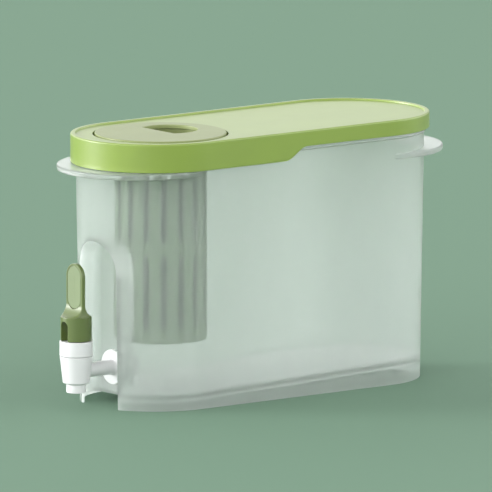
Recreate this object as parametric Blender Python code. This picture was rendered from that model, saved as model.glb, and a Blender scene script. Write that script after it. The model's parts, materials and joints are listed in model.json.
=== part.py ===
"""A cold-drinks dispenser for a fridge shelf.

A long translucent tank stands on its own foot skirt. A lid with a raised rim covers it, and a
round filler cap in the lid covers an infuser basket that hangs in the tank. A self-closing tap
stands in front of an arched recess: its lever lifts a sprung plunger off the outlet.

Metres, +Z up. The tap faces -Y, the tank is long along Y, and Z = 0 is what it stands on.
"""

import math

import bmesh
import bpy
from mathutils import Matrix, Vector

# Overall
LENGTH = 0.296  # lid, end to end
WIDTH = 0.122  # lid, side to side
HEIGHT = 0.195  # ground to the top of the lid's rim
GAP = 0.0003  # between pieces that touch
OVERRUN = 0.01  # a cutter runs this far past what it cuts

# Tank
TANK_WALL = 0.002
TANK_INSET_TOP = 0.0036  # lid's outline to the tank's, at the tank's rim
TANK_INSET_FOOT = 0.0066  # the same at the foot
FLOOR_Z = 0.0107  # underside of the tank's floor, halfway along
FLOOR_SLOPE = 0.028  # the floor rises towards the rear, so that the tank drains
BEAD_DROP = 0.0140  # lid's rim down to the bead round the tank
BEAD_STAND = 0.0009
BEAD_HALF = 0.001  # half its height at its root
BEAD_CREST_HALF = 0.0004
FLANGE_R = 0.059  # curve of each carrying flange
FLANGE_REACH = 0.013  # flange's tip beyond the lid's end
FLANGE_THICK = 0.0042
REAR_FLANGE_DROP = 0.0254  # lid's rim down to the rear flange's top

# Recess for the tap
RECESS_HALF = 0.0212
RECESS_TOP = 0.121
RECESS_DEPTH = 0.0255  # lid's front end to the recess's back wall

# Lid
LID_WALL = 0.002
RIM_WIDTH = 0.0038
RIM_RISE = 0.0013  # rim above the sunk deck
DECK_THICK = 0.002
SKIRT_FRONT = 0.0208  # rim down to the skirt's edge, round the front
SKIRT_REAR = 0.0115
SKIRT_STEP_Y = -0.005  # middle of the sweep between the two depths
SKIRT_STEP_RUN = 0.020
PLUG_WALL = 0.0015
PLUG_DEPTH = 0.009  # plug wall below the deck
LID_GASKET_THICK = 0.002
LID_GASKET_TALL = 0.004
LID_GASKET_DROP = 0.003  # deck's underside down to the gasket

# Filler port, cap and infuser, about the port's axis
DECK_MARGIN = 0.0083  # least deck between the rim and the port
PORT_WALL = 0.0012
PORT_DEPTH = 0.0104  # lid's rim down to the ledge that the basket hangs on
LEDGE_WIDTH = 0.0044
LEDGE_THICK = 0.0018
CAP_EDGE_GAP = 0.0013
CAP_STAND = 0.0010  # cap above the deck
CAP_TOP_THICK = 0.0026
CAP_EDGE = 0.0008  # chamfer round the cap's top
CAP_CORE_INSET = 0.0011
CAP_GASKET_THICK = 0.0012
CAP_GASKET_WIDTH = 0.004
SCOOP_R = 0.021  # finger scoop, a disc cut by a straight edge
SCOOP_EDGE = 0.0035  # straight edge from the cap's middle
SCOOP_BEARING = 119.7  # degrees round from +X to the middle of the scoop
SCOOP_MARGIN = 0.0032  # scoop's bowl to the basket's throat
SCOOP_LIP = 0.0016  # cap's top overhangs the bowl, for a finger to pull on
SCOOP_DEPTH = 0.0115
BOWL_WALL = 0.0012
BASKET_R = 0.033
BASKET_CLEARANCE = 0.0055  # recess's liner to the basket
BASKET_WALL = 0.0016
BASKET_LENGTH = 0.1415  # flange's top to the base
BASKET_FLANGE_THICK = 0.0016
BASKET_FLANGE_GAP = 0.0005
BASKET_THROAT_GAP = 0.001  # basket's throat to the ledge's edge
BASKET_FLARE_TOP = 0.0065  # flange's top down to the flare
BASKET_FLARE_END = 0.0125
SLOTS_ROUND = 16
SLOT_WIDTH = 0.0045
SLOT_TOP = 0.018  # flange's top down to the upper slots
SLOT_BAND_TOP = 0.0725  # the same to the solid band between the rows
SLOT_BAND_TALL = 0.009
SLOT_FOOT = 0.010  # solid wall above the base

# Tap, about its own upright axis
TAP_STANDOFF = 0.0106  # lid's front end to the tap's axis
TAP_R = 0.012
NOZZLE_R = 0.0072
NOZZLE_BORE = 0.0045
NOZZLE_Z = 0.0125
NOZZLE_TALL = 0.0064
NOZZLE_STEP = 0.0008  # height of the slope from the nozzle to the cup
TAP_TAPER_R = 0.0097  # foot of the tapered cup
TAP_SHOULDER_Z = 0.0391  # bonnet's lower edge sits just above
TAP_TOP_Z = 0.0501
TAP_SHOULDER_INSET = 0.0001  # cup inside the bonnet's outline
TAP_NECK_R = 0.0102
CHAMBER_R = 0.008
SEAT_Z = 0.0238
BONNET_PLATE = 0.0019
BONNET_EDGE = 0.0004
SEAL_THICK = 0.001
SHANK_Z = 0.0278
SHANK_R = 0.0053
SHANK_ROOT = 0.001  # shank starts this deep in the cup's wall
SHANK_BORE = 0.0036
SHANK_FLANGE_R = 0.0126
SHANK_FLANGE_THICK = 0.002
THREAD_R = 0.006
THREAD_SPARE = 0.005  # thread past the nut
OUTER_WASHER_R = 0.0118
OUTER_WASHER_THICK = 0.0015
INNER_WASHER_R = 0.0112
INNER_WASHER_THICK = 0.002
NUT_ACROSS = 0.020
NUT_THICK = 0.007
NUT_FLANGE_R = 0.0115
NUT_FLANGE_THICK = 0.0015

# Valve, spring and lever
VALVE_R = 0.0065
VALVE_TALL = 0.0058
VALVE_FLOOR = 0.0014
VALVE_CHAMFER = 0.001
STEM_R = 0.0025
STEM_SEAT_R = 0.0022  # stem inside the valve cup
PLUNGER_FLANGE_R = 0.006
PLUNGER_FLANGE_THICK = 0.0016
O_RING_R = 0.0038
O_RING_TALL = 0.0012
SPRING_R = 0.0046
SPRING_WIRE_R = 0.00045
SPRING_TURNS = 5
PIN_Z = 0.0585
PIN_R = 0.0015
PIN_CLEARANCE = 0.0001
PIN_LENGTH = 0.0175
HEAD_R = 0.0042
LEVER_R = 0.01125
COLLAR_TALL = 0.0177
COLLAR_EDGE = 0.0006
COLLAR_EDGE_TALL = 0.0008
LEVER_TOP_Z = 0.1064
PADDLE_HALF = 0.00925
PADDLE_THICK = 0.0032
PADDLE_SHIFT = -0.0003  # paddle's middle from the tap's axis
PADDLE_CORNER = 0.0011
SHOULDER_TALL = 0.0085
LEVER_SLOT = 0.0076
LEVER_SLOT_TALL = 0.0146
LEVER_SLOT_BACK = 0.007
PAD_HALF = 0.0076
PAD_LOW_Z = 0.0735
PAD_MARGIN = 0.0019  # paddle's tip to the pad's top
PAD_THICK = 0.0006

# Facets
ROUND = 56
TAP_ROUND = 40
RING_ROUND = 32
SMALL_ROUND = 24
END_ARC = 24
HALF_ROUND = 12
CORNER_STEPS = 7
SWEEP_STEPS = 14
SHOULDER_STEPS = 8
TIP_STEPS = 10
SPRING_STEPS = 12  # round one turn
NEARLY = 0.999  # a circle's corners stop just short of meeting

# Derived places
LID_R = WIDTH / 2
ARC_Y = LENGTH / 2 - LID_R  # centres of the round ends
DECK_Z = HEIGHT - RIM_RISE
DECK_UNDER_Z = DECK_Z - DECK_THICK
TANK_TOP_Z = DECK_UNDER_Z - GAP
RECESS_Y = -(LENGTH / 2 - RECESS_DEPTH)
PORT_INSET = RECESS_DEPTH + TANK_WALL + BASKET_CLEARANCE + BASKET_R  # from the lid's front end
PORT_Y = -(LENGTH / 2 - PORT_INSET)
PORT_R = LID_R - RIM_WIDTH - DECK_MARGIN
LEDGE_R = PORT_R - LEDGE_WIDTH
LEDGE_Z = HEIGHT - PORT_DEPTH
THROAT_R = LEDGE_R - BASKET_THROAT_GAP
BASKET_TOP_Z = LEDGE_Z + GAP + BASKET_FLANGE_THICK
CAP_GASKET_Z = BASKET_TOP_Z + GAP
CAP_CORE_Z = CAP_GASKET_Z + CAP_GASKET_THICK + GAP
CAP_TOP_Z = DECK_Z + CAP_STAND
TAP_Y = -(LENGTH / 2 + TAP_STANDOFF)
NECK_TOP_Z = TAP_TOP_Z - BONNET_PLATE - 2 * GAP - SEAL_THICK
WASHER_Y = RECESS_Y - GAP  # outer washer's face on the recess's back wall
SHANK_FLANGE_Y = WASHER_Y - OUTER_WASHER_THICK - GAP
INNER_WASHER_Y = RECESS_Y + TANK_WALL + GAP
NUT_Y = INNER_WASHER_Y + INNER_WASHER_THICK + GAP
SHANK_END_Y = NUT_Y + NUT_THICK + THREAD_SPARE
PLUNGER_FLANGE_Z = SEAT_Z + GAP + VALVE_TALL + GAP
COLLAR_Z = TAP_TOP_Z + GAP
COLLAR_TOP_Z = COLLAR_Z + COLLAR_TALL
PADDLE_FACE_Y = PADDLE_SHIFT - PADDLE_THICK / 2
# The row's origin is under the middle of everything, and the tank's centre is a little behind it
TANK_Y = (LENGTH / 2 + TAP_STANDOFF + TAP_R - (LENGTH / 2 + FLANGE_REACH)) / 2


def clear_scene():
    for obj in list(bpy.data.objects):
        bpy.data.objects.remove(obj, do_unlink=True)


def plastic(name, colour, roughness, alpha=1.0):
    """A Principled material of one moulded plastic, rubber or steel."""
    material = bpy.data.materials.new(name)
    material.use_nodes = True
    shader = material.node_tree.nodes["Principled BSDF"]
    shader.inputs["Base Color"].default_value = (*colour, 1.0)
    shader.inputs["Roughness"].default_value = roughness
    shader.inputs["Alpha"].default_value = alpha
    return material


def steel(name, colour, roughness):
    material = plastic(name, colour, roughness)
    material.node_tree.nodes["Principled BSDF"].inputs["Metallic"].default_value = 1.0
    return material


def empty(name, location, parent=None):
    """An empty on an axis, for the pieces that share it."""
    obj = bpy.data.objects.new(name, None)
    obj.location = location
    obj.parent = parent
    obj.empty_display_size = 0.01
    bpy.context.scene.collection.objects.link(obj)
    return obj


def piece(name, bm, material, parent, offset=(0, 0, 0)):
    """The bmesh as a named object under its axis. The mesh is drawn in the axis's frame plus offset."""
    bmesh.ops.translate(bm, verts=bm.verts, vec=-Vector(offset))
    bmesh.ops.remove_doubles(bm, verts=bm.verts, dist=1e-7)
    bmesh.ops.recalc_face_normals(bm, faces=bm.faces)
    mesh = bpy.data.meshes.new(name)
    bm.to_mesh(mesh)
    bm.free()
    mesh.materials.append(material)
    mesh.shade_smooth()
    mesh.set_sharp_from_angle(angle=math.radians(30))
    obj = bpy.data.objects.new(name, mesh)
    obj.parent = parent
    bpy.context.scene.collection.objects.link(obj)
    return obj


def helper(name, bm, parent, offset=(0, 0, 0)):
    """A cutter or an addition that a Boolean uses and that isn't a piece itself."""
    obj = piece(name, bm, bpy.data.materials["helper"], parent, offset)
    obj.hide_render = True
    obj.display_type = "WIRE"
    return obj


def combine(target, other, operation):
    modifier = target.modifiers.new(other.name, "BOOLEAN")
    modifier.operation = operation
    modifier.object = other
    modifier.solver = "EXACT"


def cut(target, *cutters):
    for cutter in cutters:
        combine(target, cutter, "DIFFERENCE")


def add(target, *others):
    for other in others:
        combine(target, other, "UNION")


def skin(rings):
    """A closed solid through rings of equal length, with a flat face on the first and the last."""
    bm = bmesh.new()
    loops = [[bm.verts.new(point) for point in ring] for ring in rings]
    for low, high in zip(loops, loops[1:]):
        for here in range(len(low)):
            after = (here + 1) % len(low)
            bm.faces.new((low[here], low[after], high[after], high[here]))
    bm.faces.new(loops[0][::-1])
    bm.faces.new(loops[-1])
    return bm


def obround(radius, z_at):
    """Points round an obround about the ends' centres. radius and z_at are numbers or functions of y."""
    points = []
    for end, start in ((1, 0.0), (-1, math.pi)):
        for step in range(END_ARC + 1):
            angle = start + math.pi * step / END_ARC
            y = end * ARC_Y + math.sin(angle) * LID_R
            z = z_at(y) if callable(z_at) else z_at
            reach = radius(z) if callable(radius) else radius
            points.append((math.cos(angle) * reach, end * ARC_Y + math.sin(angle) * reach, z))
    return points


def prism(outline, low, high):
    """A closed outline in X and Y, raised from low to high."""
    return skin([[(x, y, z) for x, y in outline] for z in (low, high)])


def turned(profile, segments=ROUND, closed=True):
    """A profile of (radius, z) points turned about Z. An open one starts and ends on the axis."""
    bm = bmesh.new()
    verts = [bm.verts.new((radius, 0, z)) for radius, z in profile]
    ends = verts[1:] + verts[:1] if closed else verts[1:]
    edges = [bm.edges.new(pair) for pair in zip(verts, ends)]
    bmesh.ops.spin(
        bm, geom=verts + edges, axis=(0, 0, 1), angle=math.tau, steps=segments, use_merge=True
    )
    return bm


def ring(inner, outer, low, high, segments=ROUND):
    return turned(((outer, high), (outer, low), (inner, low), (inner, high)), segments)


def disc(radius, low, high, segments=ROUND):
    return turned(((0, high), (radius, high), (radius, low), (0, low)), segments, closed=False)


def along_y(bm, y=0.0, z=0.0):
    """Lays a shape made about Z along +Y, on an axis at height z."""
    turn = Matrix.Translation((0, y, z)) @ Matrix.Rotation(-math.pi / 2, 4, "X")
    bmesh.ops.transform(bm, matrix=turn, verts=bm.verts)
    return bm


def along_x(bm, z=0.0):
    turn = Matrix.Translation((0, 0, z)) @ Matrix.Rotation(math.pi / 2, 4, "Y")
    bmesh.ops.transform(bm, matrix=turn, verts=bm.verts)
    return bm


def tank_radius(z):
    """Outer radius of the tank's round ends: the wall leans out a little for the mould."""
    foot = LID_R - TANK_INSET_FOOT
    return foot + (TANK_INSET_FOOT - TANK_INSET_TOP) * z / TANK_TOP_Z


def tank_inside(z):
    return tank_radius(z) - TANK_WALL


def floor_under(y):
    return FLOOR_Z + FLOOR_SLOPE * y


def floor_top(y):
    return floor_under(y) + TANK_WALL


def arch(half, top):
    """An upright arch outline in X and Z, open below the ground."""
    points = [(-half, -OVERRUN), (half, -OVERRUN)]
    for step in range(SMALL_ROUND + 1):
        angle = math.pi * step / SMALL_ROUND
        points.append((half * math.cos(angle), top - half + half * math.sin(angle)))
    return points


def arch_block(half, top, back_y):
    """The arch run back from well in front of the tank to back_y."""
    front_y = -LENGTH / 2 - OVERRUN
    return skin([[(x, y, z) for x, z in arch(half, top)] for y in (front_y, back_y)])


def make_tank(material, parent):
    bead_z = HEIGHT - BEAD_DROP
    rings = [obround(tank_radius(z), z) for z in (0.0, bead_z - BEAD_HALF)]
    crest = (bead_z - BEAD_CREST_HALF, bead_z + BEAD_CREST_HALF)
    rings += [obround(tank_radius(z) + BEAD_STAND, z) for z in crest]
    rings += [obround(tank_radius(z), z) for z in (bead_z + BEAD_HALF, TANK_TOP_Z)]
    tank = piece("tank", skin(rings), material, parent)

    flange_y = LENGTH / 2 + FLANGE_REACH - FLANGE_R
    front_top = HEIGHT - SKIRT_FRONT - GAP
    rear_top = HEIGHT - REAR_FLANGE_DROP
    front = disc(FLANGE_R, front_top - FLANGE_THICK, front_top)
    rear = disc(FLANGE_R, rear_top - FLANGE_THICK, rear_top)
    add(tank, helper("front_flange", front, parent, offset=(0, flange_y, 0)))
    add(tank, helper("rear_flange", rear, parent, offset=(0, -flange_y, 0)))

    cavity_rings = [obround(tank_inside, floor_top), obround(tank_inside(TANK_TOP_Z), HEIGHT)]
    cavity = helper("tank_cavity", skin(cavity_rings), parent)
    liner = arch_block(RECESS_HALF + TANK_WALL, RECESS_TOP + TANK_WALL, RECESS_Y + TANK_WALL)
    cut(cavity, helper("recess_liner", liner, parent))
    foot_rings = [obround(tank_inside(0.0), -TANK_WALL), obround(tank_inside, floor_under)]
    foot = helper("foot_hollow", skin(foot_rings), parent)
    recess = helper("tap_recess", arch_block(RECESS_HALF, RECESS_TOP, RECESS_Y), parent)
    hole = along_y(disc(THREAD_R + GAP, -OVERRUN, OVERRUN, SMALL_ROUND), RECESS_Y, SHANK_Z)
    cut(tank, recess, cavity, foot, helper("shank_hole", hole, parent))
    return tank


def skirt_sweep():
    """Cutter under the lid's rear skirt. Its front edge sweeps up from the deep skirt to the shallow one."""
    deep = HEIGHT - SKIRT_FRONT - GAP
    shallow = HEIGHT - SKIRT_REAR
    outline = []
    for step in range(SWEEP_STEPS + 1):
        share = step / SWEEP_STEPS
        rise = (1 - math.cos(math.pi * share)) / 2
        y = SKIRT_STEP_Y + SKIRT_STEP_RUN * (share - 0.5)
        outline.append((y, deep + (shallow - deep) * rise))
    outline += [(LENGTH, shallow), (LENGTH, deep - OVERRUN), (outline[0][0], deep - OVERRUN)]
    return skin([[(x, y, z) for y, z in outline] for x in (-WIDTH, WIDTH)])


def make_lid(material, parent):
    low = HEIGHT - SKIRT_FRONT
    lid = piece("lid", skin([obround(LID_R, z) for z in (low, HEIGHT)]), material, parent)
    deck_outline = LID_R - RIM_WIDTH
    deck = skin([obround(deck_outline, z) for z in (DECK_Z, HEIGHT + OVERRUN)])
    under = skin([obround(LID_R - LID_WALL, z) for z in (low - OVERRUN, DECK_UNDER_Z)])
    cut(lid, helper("lid_deck", deck, parent), helper("lid_under", under, parent))

    plug_r = tank_inside(TANK_TOP_Z) - LID_GASKET_THICK - 2 * GAP
    plug_low = DECK_UNDER_Z - PLUG_DEPTH
    into_deck = DECK_UNDER_Z + DECK_THICK / 2
    plug = helper("lid_plug", skin([obround(plug_r, z) for z in (plug_low, into_deck)]), parent)
    plug_inside = skin([obround(plug_r - PLUG_WALL, z) for z in (plug_low - OVERRUN, DECK_UNDER_Z)])
    cut(plug, helper("lid_plug_inside", plug_inside, parent))
    well = disc(PORT_R + PORT_WALL, LEDGE_Z - LEDGE_THICK, into_deck)
    add(lid, plug, helper("port_well", well, parent, offset=(0, -PORT_Y, 0)))

    bore = disc(PORT_R, LEDGE_Z, HEIGHT + OVERRUN)
    throat = disc(LEDGE_R, LEDGE_Z - OVERRUN, HEIGHT + OVERRUN)
    cut(lid, helper("port_bore", bore, parent, offset=(0, -PORT_Y, 0)))
    cut(lid, helper("port_throat", throat, parent, offset=(0, -PORT_Y, 0)))
    cut(lid, helper("skirt_sweep", skirt_sweep(), parent))
    return lid


def make_lid_gasket(material, parent):
    top = DECK_UNDER_Z - LID_GASKET_DROP
    low = top - LID_GASKET_TALL
    outer = tank_inside(low) - GAP
    inner = tank_inside(TANK_TOP_Z) - LID_GASKET_THICK - GAP
    gasket = piece("lid_gasket", skin([obround(outer, z) for z in (low, top)]), material, parent)
    hollow = skin([obround(inner, z) for z in (low - GAP, top + GAP)])
    cut(gasket, helper("lid_gasket_hollow", hollow, parent))
    return gasket


def scoop(grow, low, high):
    """The finger scoop's outline, a disc with one straight side, moved out by grow."""
    reach = THROAT_R - BASKET_WALL - SCOOP_MARGIN - BOWL_WALL - SCOOP_LIP - SCOOP_R
    bearing = math.radians(SCOOP_BEARING)
    centre_x, centre_y = reach * math.cos(bearing), reach * math.sin(bearing)
    radius = SCOOP_R + grow
    edge = SCOOP_EDGE - grow
    start = math.asin((edge - centre_y) / radius)
    outline = []
    for step in range(ROUND // 2 + 1):
        angle = start + (math.pi - 2 * start) * step / (ROUND // 2)
        outline.append((centre_x + radius * math.cos(angle), centre_y + radius * math.sin(angle)))
    return prism(outline, low, high)


def make_cap(finish, rubber, parent):
    """Two mouldings: a top disc with the scoop's mouth in it, and a core with the scoop's bowl."""
    cap_r = PORT_R - CAP_EDGE_GAP
    top_low = CAP_TOP_Z - CAP_TOP_THICK
    chamfer = ((cap_r - CAP_EDGE, CAP_TOP_Z), (cap_r, CAP_TOP_Z - CAP_EDGE))
    profile = ((0, CAP_TOP_Z), *chamfer, (cap_r, top_low), (0, top_low))
    top = piece("cap_top", turned(profile, closed=False), finish, parent)
    cut(top, helper("scoop_mouth", scoop(0, top_low - OVERRUN, CAP_TOP_Z + OVERRUN), parent))

    core_top = top_low - GAP
    core_r = cap_r - CAP_CORE_INSET
    core = piece("cap_core", disc(core_r, CAP_CORE_Z, core_top), finish, parent)
    bowl_low = CAP_TOP_Z - SCOOP_DEPTH - BOWL_WALL
    bowl = scoop(SCOOP_LIP + BOWL_WALL, bowl_low, (CAP_CORE_Z + core_top) / 2)
    add(core, helper("scoop_bowl", bowl, parent))
    hollow = scoop(SCOOP_LIP, bowl_low + BOWL_WALL, HEIGHT + OVERRUN)
    cut(core, helper("scoop_hollow", hollow, parent))

    gasket = ring(
        core_r - CAP_GASKET_WIDTH, core_r, CAP_GASKET_Z, CAP_GASKET_Z + CAP_GASKET_THICK
    )
    piece("cap_gasket", gasket, rubber, parent)


def basket_slots():
    """Cutter for both rows of slots: one box for each, set round the basket."""
    bm = bmesh.new()
    low_z = BASKET_TOP_Z - BASKET_LENGTH
    band_top = BASKET_TOP_Z - SLOT_BAND_TOP + SLOT_BAND_TALL / 2
    rows = (
        (low_z + SLOT_FOOT, band_top - SLOT_BAND_TALL),
        (band_top, BASKET_TOP_Z - SLOT_TOP),
    )
    for low, high in rows:
        for index in range(SLOTS_ROUND):
            turn = Matrix.Rotation(math.tau * (index + 0.5) / SLOTS_ROUND, 4, "Z")
            place = Matrix.Translation((BASKET_R, 0, (low + high) / 2))
            size = Matrix.Diagonal((OVERRUN, SLOT_WIDTH, high - low, 1))
            bmesh.ops.create_cube(bm, size=1, matrix=turn @ place @ size)
    return bm


def make_basket(material, parent):
    flange_r = PORT_R - BASKET_FLANGE_GAP
    low = BASKET_TOP_Z - BASKET_LENGTH
    flange_low = BASKET_TOP_Z - BASKET_FLANGE_THICK
    flare_top = BASKET_TOP_Z - BASKET_FLARE_TOP
    flare_end = BASKET_TOP_Z - BASKET_FLARE_END
    outside = (
        (0, low),
        (BASKET_R, low),
        (BASKET_R, flare_end),
        (THROAT_R, flare_top),
        (THROAT_R, flange_low),
        (flange_r, flange_low),
        (flange_r, BASKET_TOP_Z),
    )
    inside = (
        (THROAT_R - BASKET_WALL, BASKET_TOP_Z),
        (THROAT_R - BASKET_WALL, flare_top),
        (BASKET_R - BASKET_WALL, flare_end),
        (BASKET_R - BASKET_WALL, low + BASKET_WALL),
        (0, low + BASKET_WALL),
    )
    profile = (outside + inside)[::-1]
    basket = piece("infuser_basket", turned(profile, closed=False), material, parent)
    cut(basket, helper("basket_slots", basket_slots(), parent))


def make_tap_body(material, parent):
    """Cup, spout and shank in one moulding. y is measured from the tap's axis."""
    shoulder_r = TAP_R - TAP_SHOULDER_INSET
    profile = (
        (TAP_NECK_R, NECK_TOP_Z),
        (TAP_NECK_R, TAP_SHOULDER_Z),
        (shoulder_r, TAP_SHOULDER_Z),
        (TAP_TAPER_R, NOZZLE_Z + NOZZLE_TALL + NOZZLE_STEP),
        (NOZZLE_R, NOZZLE_Z + NOZZLE_TALL),
        (NOZZLE_R, NOZZLE_Z),
        (NOZZLE_BORE, NOZZLE_Z),
        (NOZZLE_BORE, SEAT_Z),
        (CHAMBER_R, SEAT_Z),
        (CHAMBER_R, NECK_TOP_Z),
    )
    body = piece("tap_body", turned(profile, TAP_ROUND), material, parent)
    start = CHAMBER_R + SHANK_ROOT
    flange = SHANK_FLANGE_Y - TAP_Y
    end = SHANK_END_Y - TAP_Y
    shank_profile = (
        (0, end),
        (THREAD_R, end),
        (THREAD_R, flange),
        (SHANK_FLANGE_R, flange),
        (SHANK_FLANGE_R, flange - SHANK_FLANGE_THICK),
        (SHANK_R, flange - SHANK_FLANGE_THICK),
        (SHANK_R, start),
        (0, start),
    )
    shank = along_y(turned(shank_profile, SMALL_ROUND, closed=False), z=SHANK_Z)
    add(body, helper("shank", shank, parent))
    bore = along_y(disc(SHANK_BORE, 0.0, end + OVERRUN, SMALL_ROUND), z=SHANK_Z)
    cut(body, helper("shank_bore", bore, parent))


def make_bonnet(plastic_white, rubber, parent):
    skirt_low = TAP_SHOULDER_Z + GAP
    plate_low = TAP_TOP_Z - BONNET_PLATE
    profile = (
        (TAP_R - BONNET_EDGE, TAP_TOP_Z),
        (TAP_R, TAP_TOP_Z - BONNET_EDGE),
        (TAP_R, skirt_low),
        (TAP_NECK_R + GAP, skirt_low),
        (TAP_NECK_R + GAP, plate_low),
        (STEM_R + GAP, plate_low),
        (STEM_R + GAP, TAP_TOP_Z),
    )
    piece("tap_bonnet", turned(profile, TAP_ROUND), plastic_white, parent)
    seal_low = NECK_TOP_Z + GAP
    seal = ring(CHAMBER_R + GAP, TAP_NECK_R - GAP, seal_low, seal_low + SEAL_THICK, RING_ROUND)
    piece("bonnet_seal", seal, rubber, parent)


def make_shank_fittings(plastic_white, rubber, parent):
    """Washers on both sides of the tank's wall and the nut that pulls them tight."""
    outer = ring(THREAD_R + GAP, OUTER_WASHER_R, -OUTER_WASHER_THICK, 0, RING_ROUND)
    piece("outer_washer", along_y(outer, WASHER_Y, SHANK_Z), rubber, parent)
    inner = ring(THREAD_R + GAP, INNER_WASHER_R, 0, INNER_WASHER_THICK, RING_ROUND)
    piece("inner_washer", along_y(inner, INNER_WASHER_Y, SHANK_Z), rubber, parent)

    corner_r = NUT_ACROSS / 2 / math.cos(math.pi / 6)
    nut_mesh = disc(corner_r, 0, NUT_THICK, 6)
    nut = piece("lock_nut", along_y(nut_mesh, NUT_Y, SHANK_Z), plastic_white, parent)
    flange = along_y(disc(NUT_FLANGE_R, 0, NUT_FLANGE_THICK, RING_ROUND), NUT_Y, SHANK_Z)
    bore = disc(THREAD_R + GAP, -OVERRUN, NUT_THICK + OVERRUN, SMALL_ROUND)
    add(nut, helper("nut_flange", flange, parent))
    cut(nut, helper("nut_bore", along_y(bore, NUT_Y, SHANK_Z), parent))


def make_plunger(plastic_white, rubber, parent):
    """The stem with its pin head, the soft cup that closes the outlet, and the stem's seal."""
    cup_low = SEAT_Z + GAP
    cup_top = cup_low + VALVE_TALL
    stem_low = cup_low + VALVE_FLOOR
    cup_profile = (
        (0, stem_low - GAP),
        (STEM_SEAT_R + GAP, stem_low - GAP),
        (STEM_SEAT_R + GAP, cup_top),
        (VALVE_R, cup_top),
        (VALVE_R, cup_low + VALVE_CHAMFER),
        (VALVE_R - VALVE_CHAMFER, cup_low),
        (0, cup_low),
    )
    piece("valve_cup", turned(cup_profile, RING_ROUND, closed=False), rubber, parent)

    stem_profile = (
        (0, PIN_Z),
        (STEM_R, PIN_Z),
        (STEM_R, PLUNGER_FLANGE_Z + PLUNGER_FLANGE_THICK),
        (PLUNGER_FLANGE_R, PLUNGER_FLANGE_Z + PLUNGER_FLANGE_THICK),
        (PLUNGER_FLANGE_R, PLUNGER_FLANGE_Z),
        (STEM_SEAT_R, PLUNGER_FLANGE_Z),
        (STEM_SEAT_R, stem_low),
        (0, stem_low),
    )
    stem = turned(stem_profile, SMALL_ROUND, closed=False)
    plunger = piece("valve_plunger", stem, plastic_white, parent)
    head_half = LEVER_SLOT / 2 - 2 * GAP
    head = along_x(disc(HEAD_R, -head_half, head_half, RING_ROUND), PIN_Z)
    hole = along_x(disc(PIN_R + PIN_CLEARANCE, -OVERRUN, OVERRUN, SMALL_ROUND), PIN_Z)
    add(plunger, helper("plunger_head", head, parent))
    cut(plunger, helper("plunger_pin_hole", hole, parent))

    o_ring_top = TAP_TOP_Z - BONNET_PLATE - GAP
    o_ring = ring(STEM_R + GAP, O_RING_R, o_ring_top - O_RING_TALL, o_ring_top, SMALL_ROUND)
    piece("stem_o_ring", o_ring, rubber, parent)


def make_spring(material, parent):
    """A compression spring between the plunger's flange and the bonnet."""
    low = PLUNGER_FLANGE_Z + PLUNGER_FLANGE_THICK + GAP + SPRING_WIRE_R
    high = TAP_TOP_Z - BONNET_PLATE - GAP - SPRING_WIRE_R
    count = SPRING_TURNS * SPRING_STEPS + 1
    curve = bpy.data.curves.new("valve_spring", "CURVE")
    curve.dimensions = "3D"
    curve.bevel_depth = SPRING_WIRE_R
    curve.bevel_resolution = 1
    curve.use_fill_caps = True
    spline = curve.splines.new("POLY")
    spline.points.add(count - 1)
    for index, point in enumerate(spline.points):
        angle = math.tau * index / SPRING_STEPS
        z = low + (high - low) * index / (count - 1)
        point.co = (SPRING_R * math.cos(angle), SPRING_R * math.sin(angle), z, 1)
    curve.materials.append(material)
    spring = bpy.data.objects.new("valve_spring", curve)
    spring.parent = parent
    bpy.context.scene.collection.objects.link(spring)


def lever_section(half_x, half_y, corner, y, z):
    """A rounded rectangle across the lever. Equal halves and corner make it a circle."""
    points = []
    for quarter, (side_x, side_y) in enumerate(((1, 1), (-1, 1), (-1, -1), (1, -1))):
        for step in range(CORNER_STEPS + 1):
            angle = math.pi / 2 * (quarter + step / CORNER_STEPS)
            point_x = side_x * (half_x - corner) + corner * math.cos(angle)
            point_y = y + side_y * (half_y - corner) + corner * math.sin(angle)
            points.append((point_x, point_y, z))
    return points


def lever_sections():
    """Sections up the lever: the round collar, the hollow shoulder, the paddle and its round tip."""
    round_section = (LEVER_R, LEVER_R, LEVER_R * NEARLY)
    rim = LEVER_R - COLLAR_EDGE
    half_thick = PADDLE_THICK / 2
    sections = [
        lever_section(*round_section, 0, COLLAR_Z),
        lever_section(*round_section, 0, COLLAR_TOP_Z - COLLAR_EDGE_TALL),
    ]
    for step in range(SHOULDER_STEPS + 1):
        angle = math.pi / 2 * step / SHOULDER_STEPS
        share = 1 - math.sin(angle)
        half_x = PADDLE_HALF + (rim - PADDLE_HALF) * share
        half_y = half_thick + (rim - half_thick) * share
        corner = PADDLE_CORNER + (min(half_x, half_y) * NEARLY - PADDLE_CORNER) * share
        z = COLLAR_TOP_Z + SHOULDER_TALL * (1 - math.cos(angle))
        sections.append(lever_section(half_x, half_y, corner, PADDLE_SHIFT * (1 - share), z))
    tip_z = LEVER_TOP_Z - PADDLE_HALF
    for step in range(TIP_STEPS):
        angle = math.pi / 2 * step / TIP_STEPS
        half_x = PADDLE_HALF * math.cos(angle)
        z = tip_z + PADDLE_HALF * math.sin(angle)
        sections.append(lever_section(half_x, half_thick, PADDLE_CORNER, PADDLE_SHIFT, z))
    return sections


def stadium(half, low_z, high_z, front_y, back_y):
    """An upright stadium block, for the thumb pad and its pocket."""
    outline = []
    for centre, start in ((high_z - half, 0.0), (low_z + half, math.pi)):
        for step in range(HALF_ROUND + 1):
            angle = start + math.pi * step / HALF_ROUND
            outline.append((half * math.cos(angle), centre + half * math.sin(angle)))
    return skin([[(x, y, z) for x, z in outline] for y in (front_y, back_y)])


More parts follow.
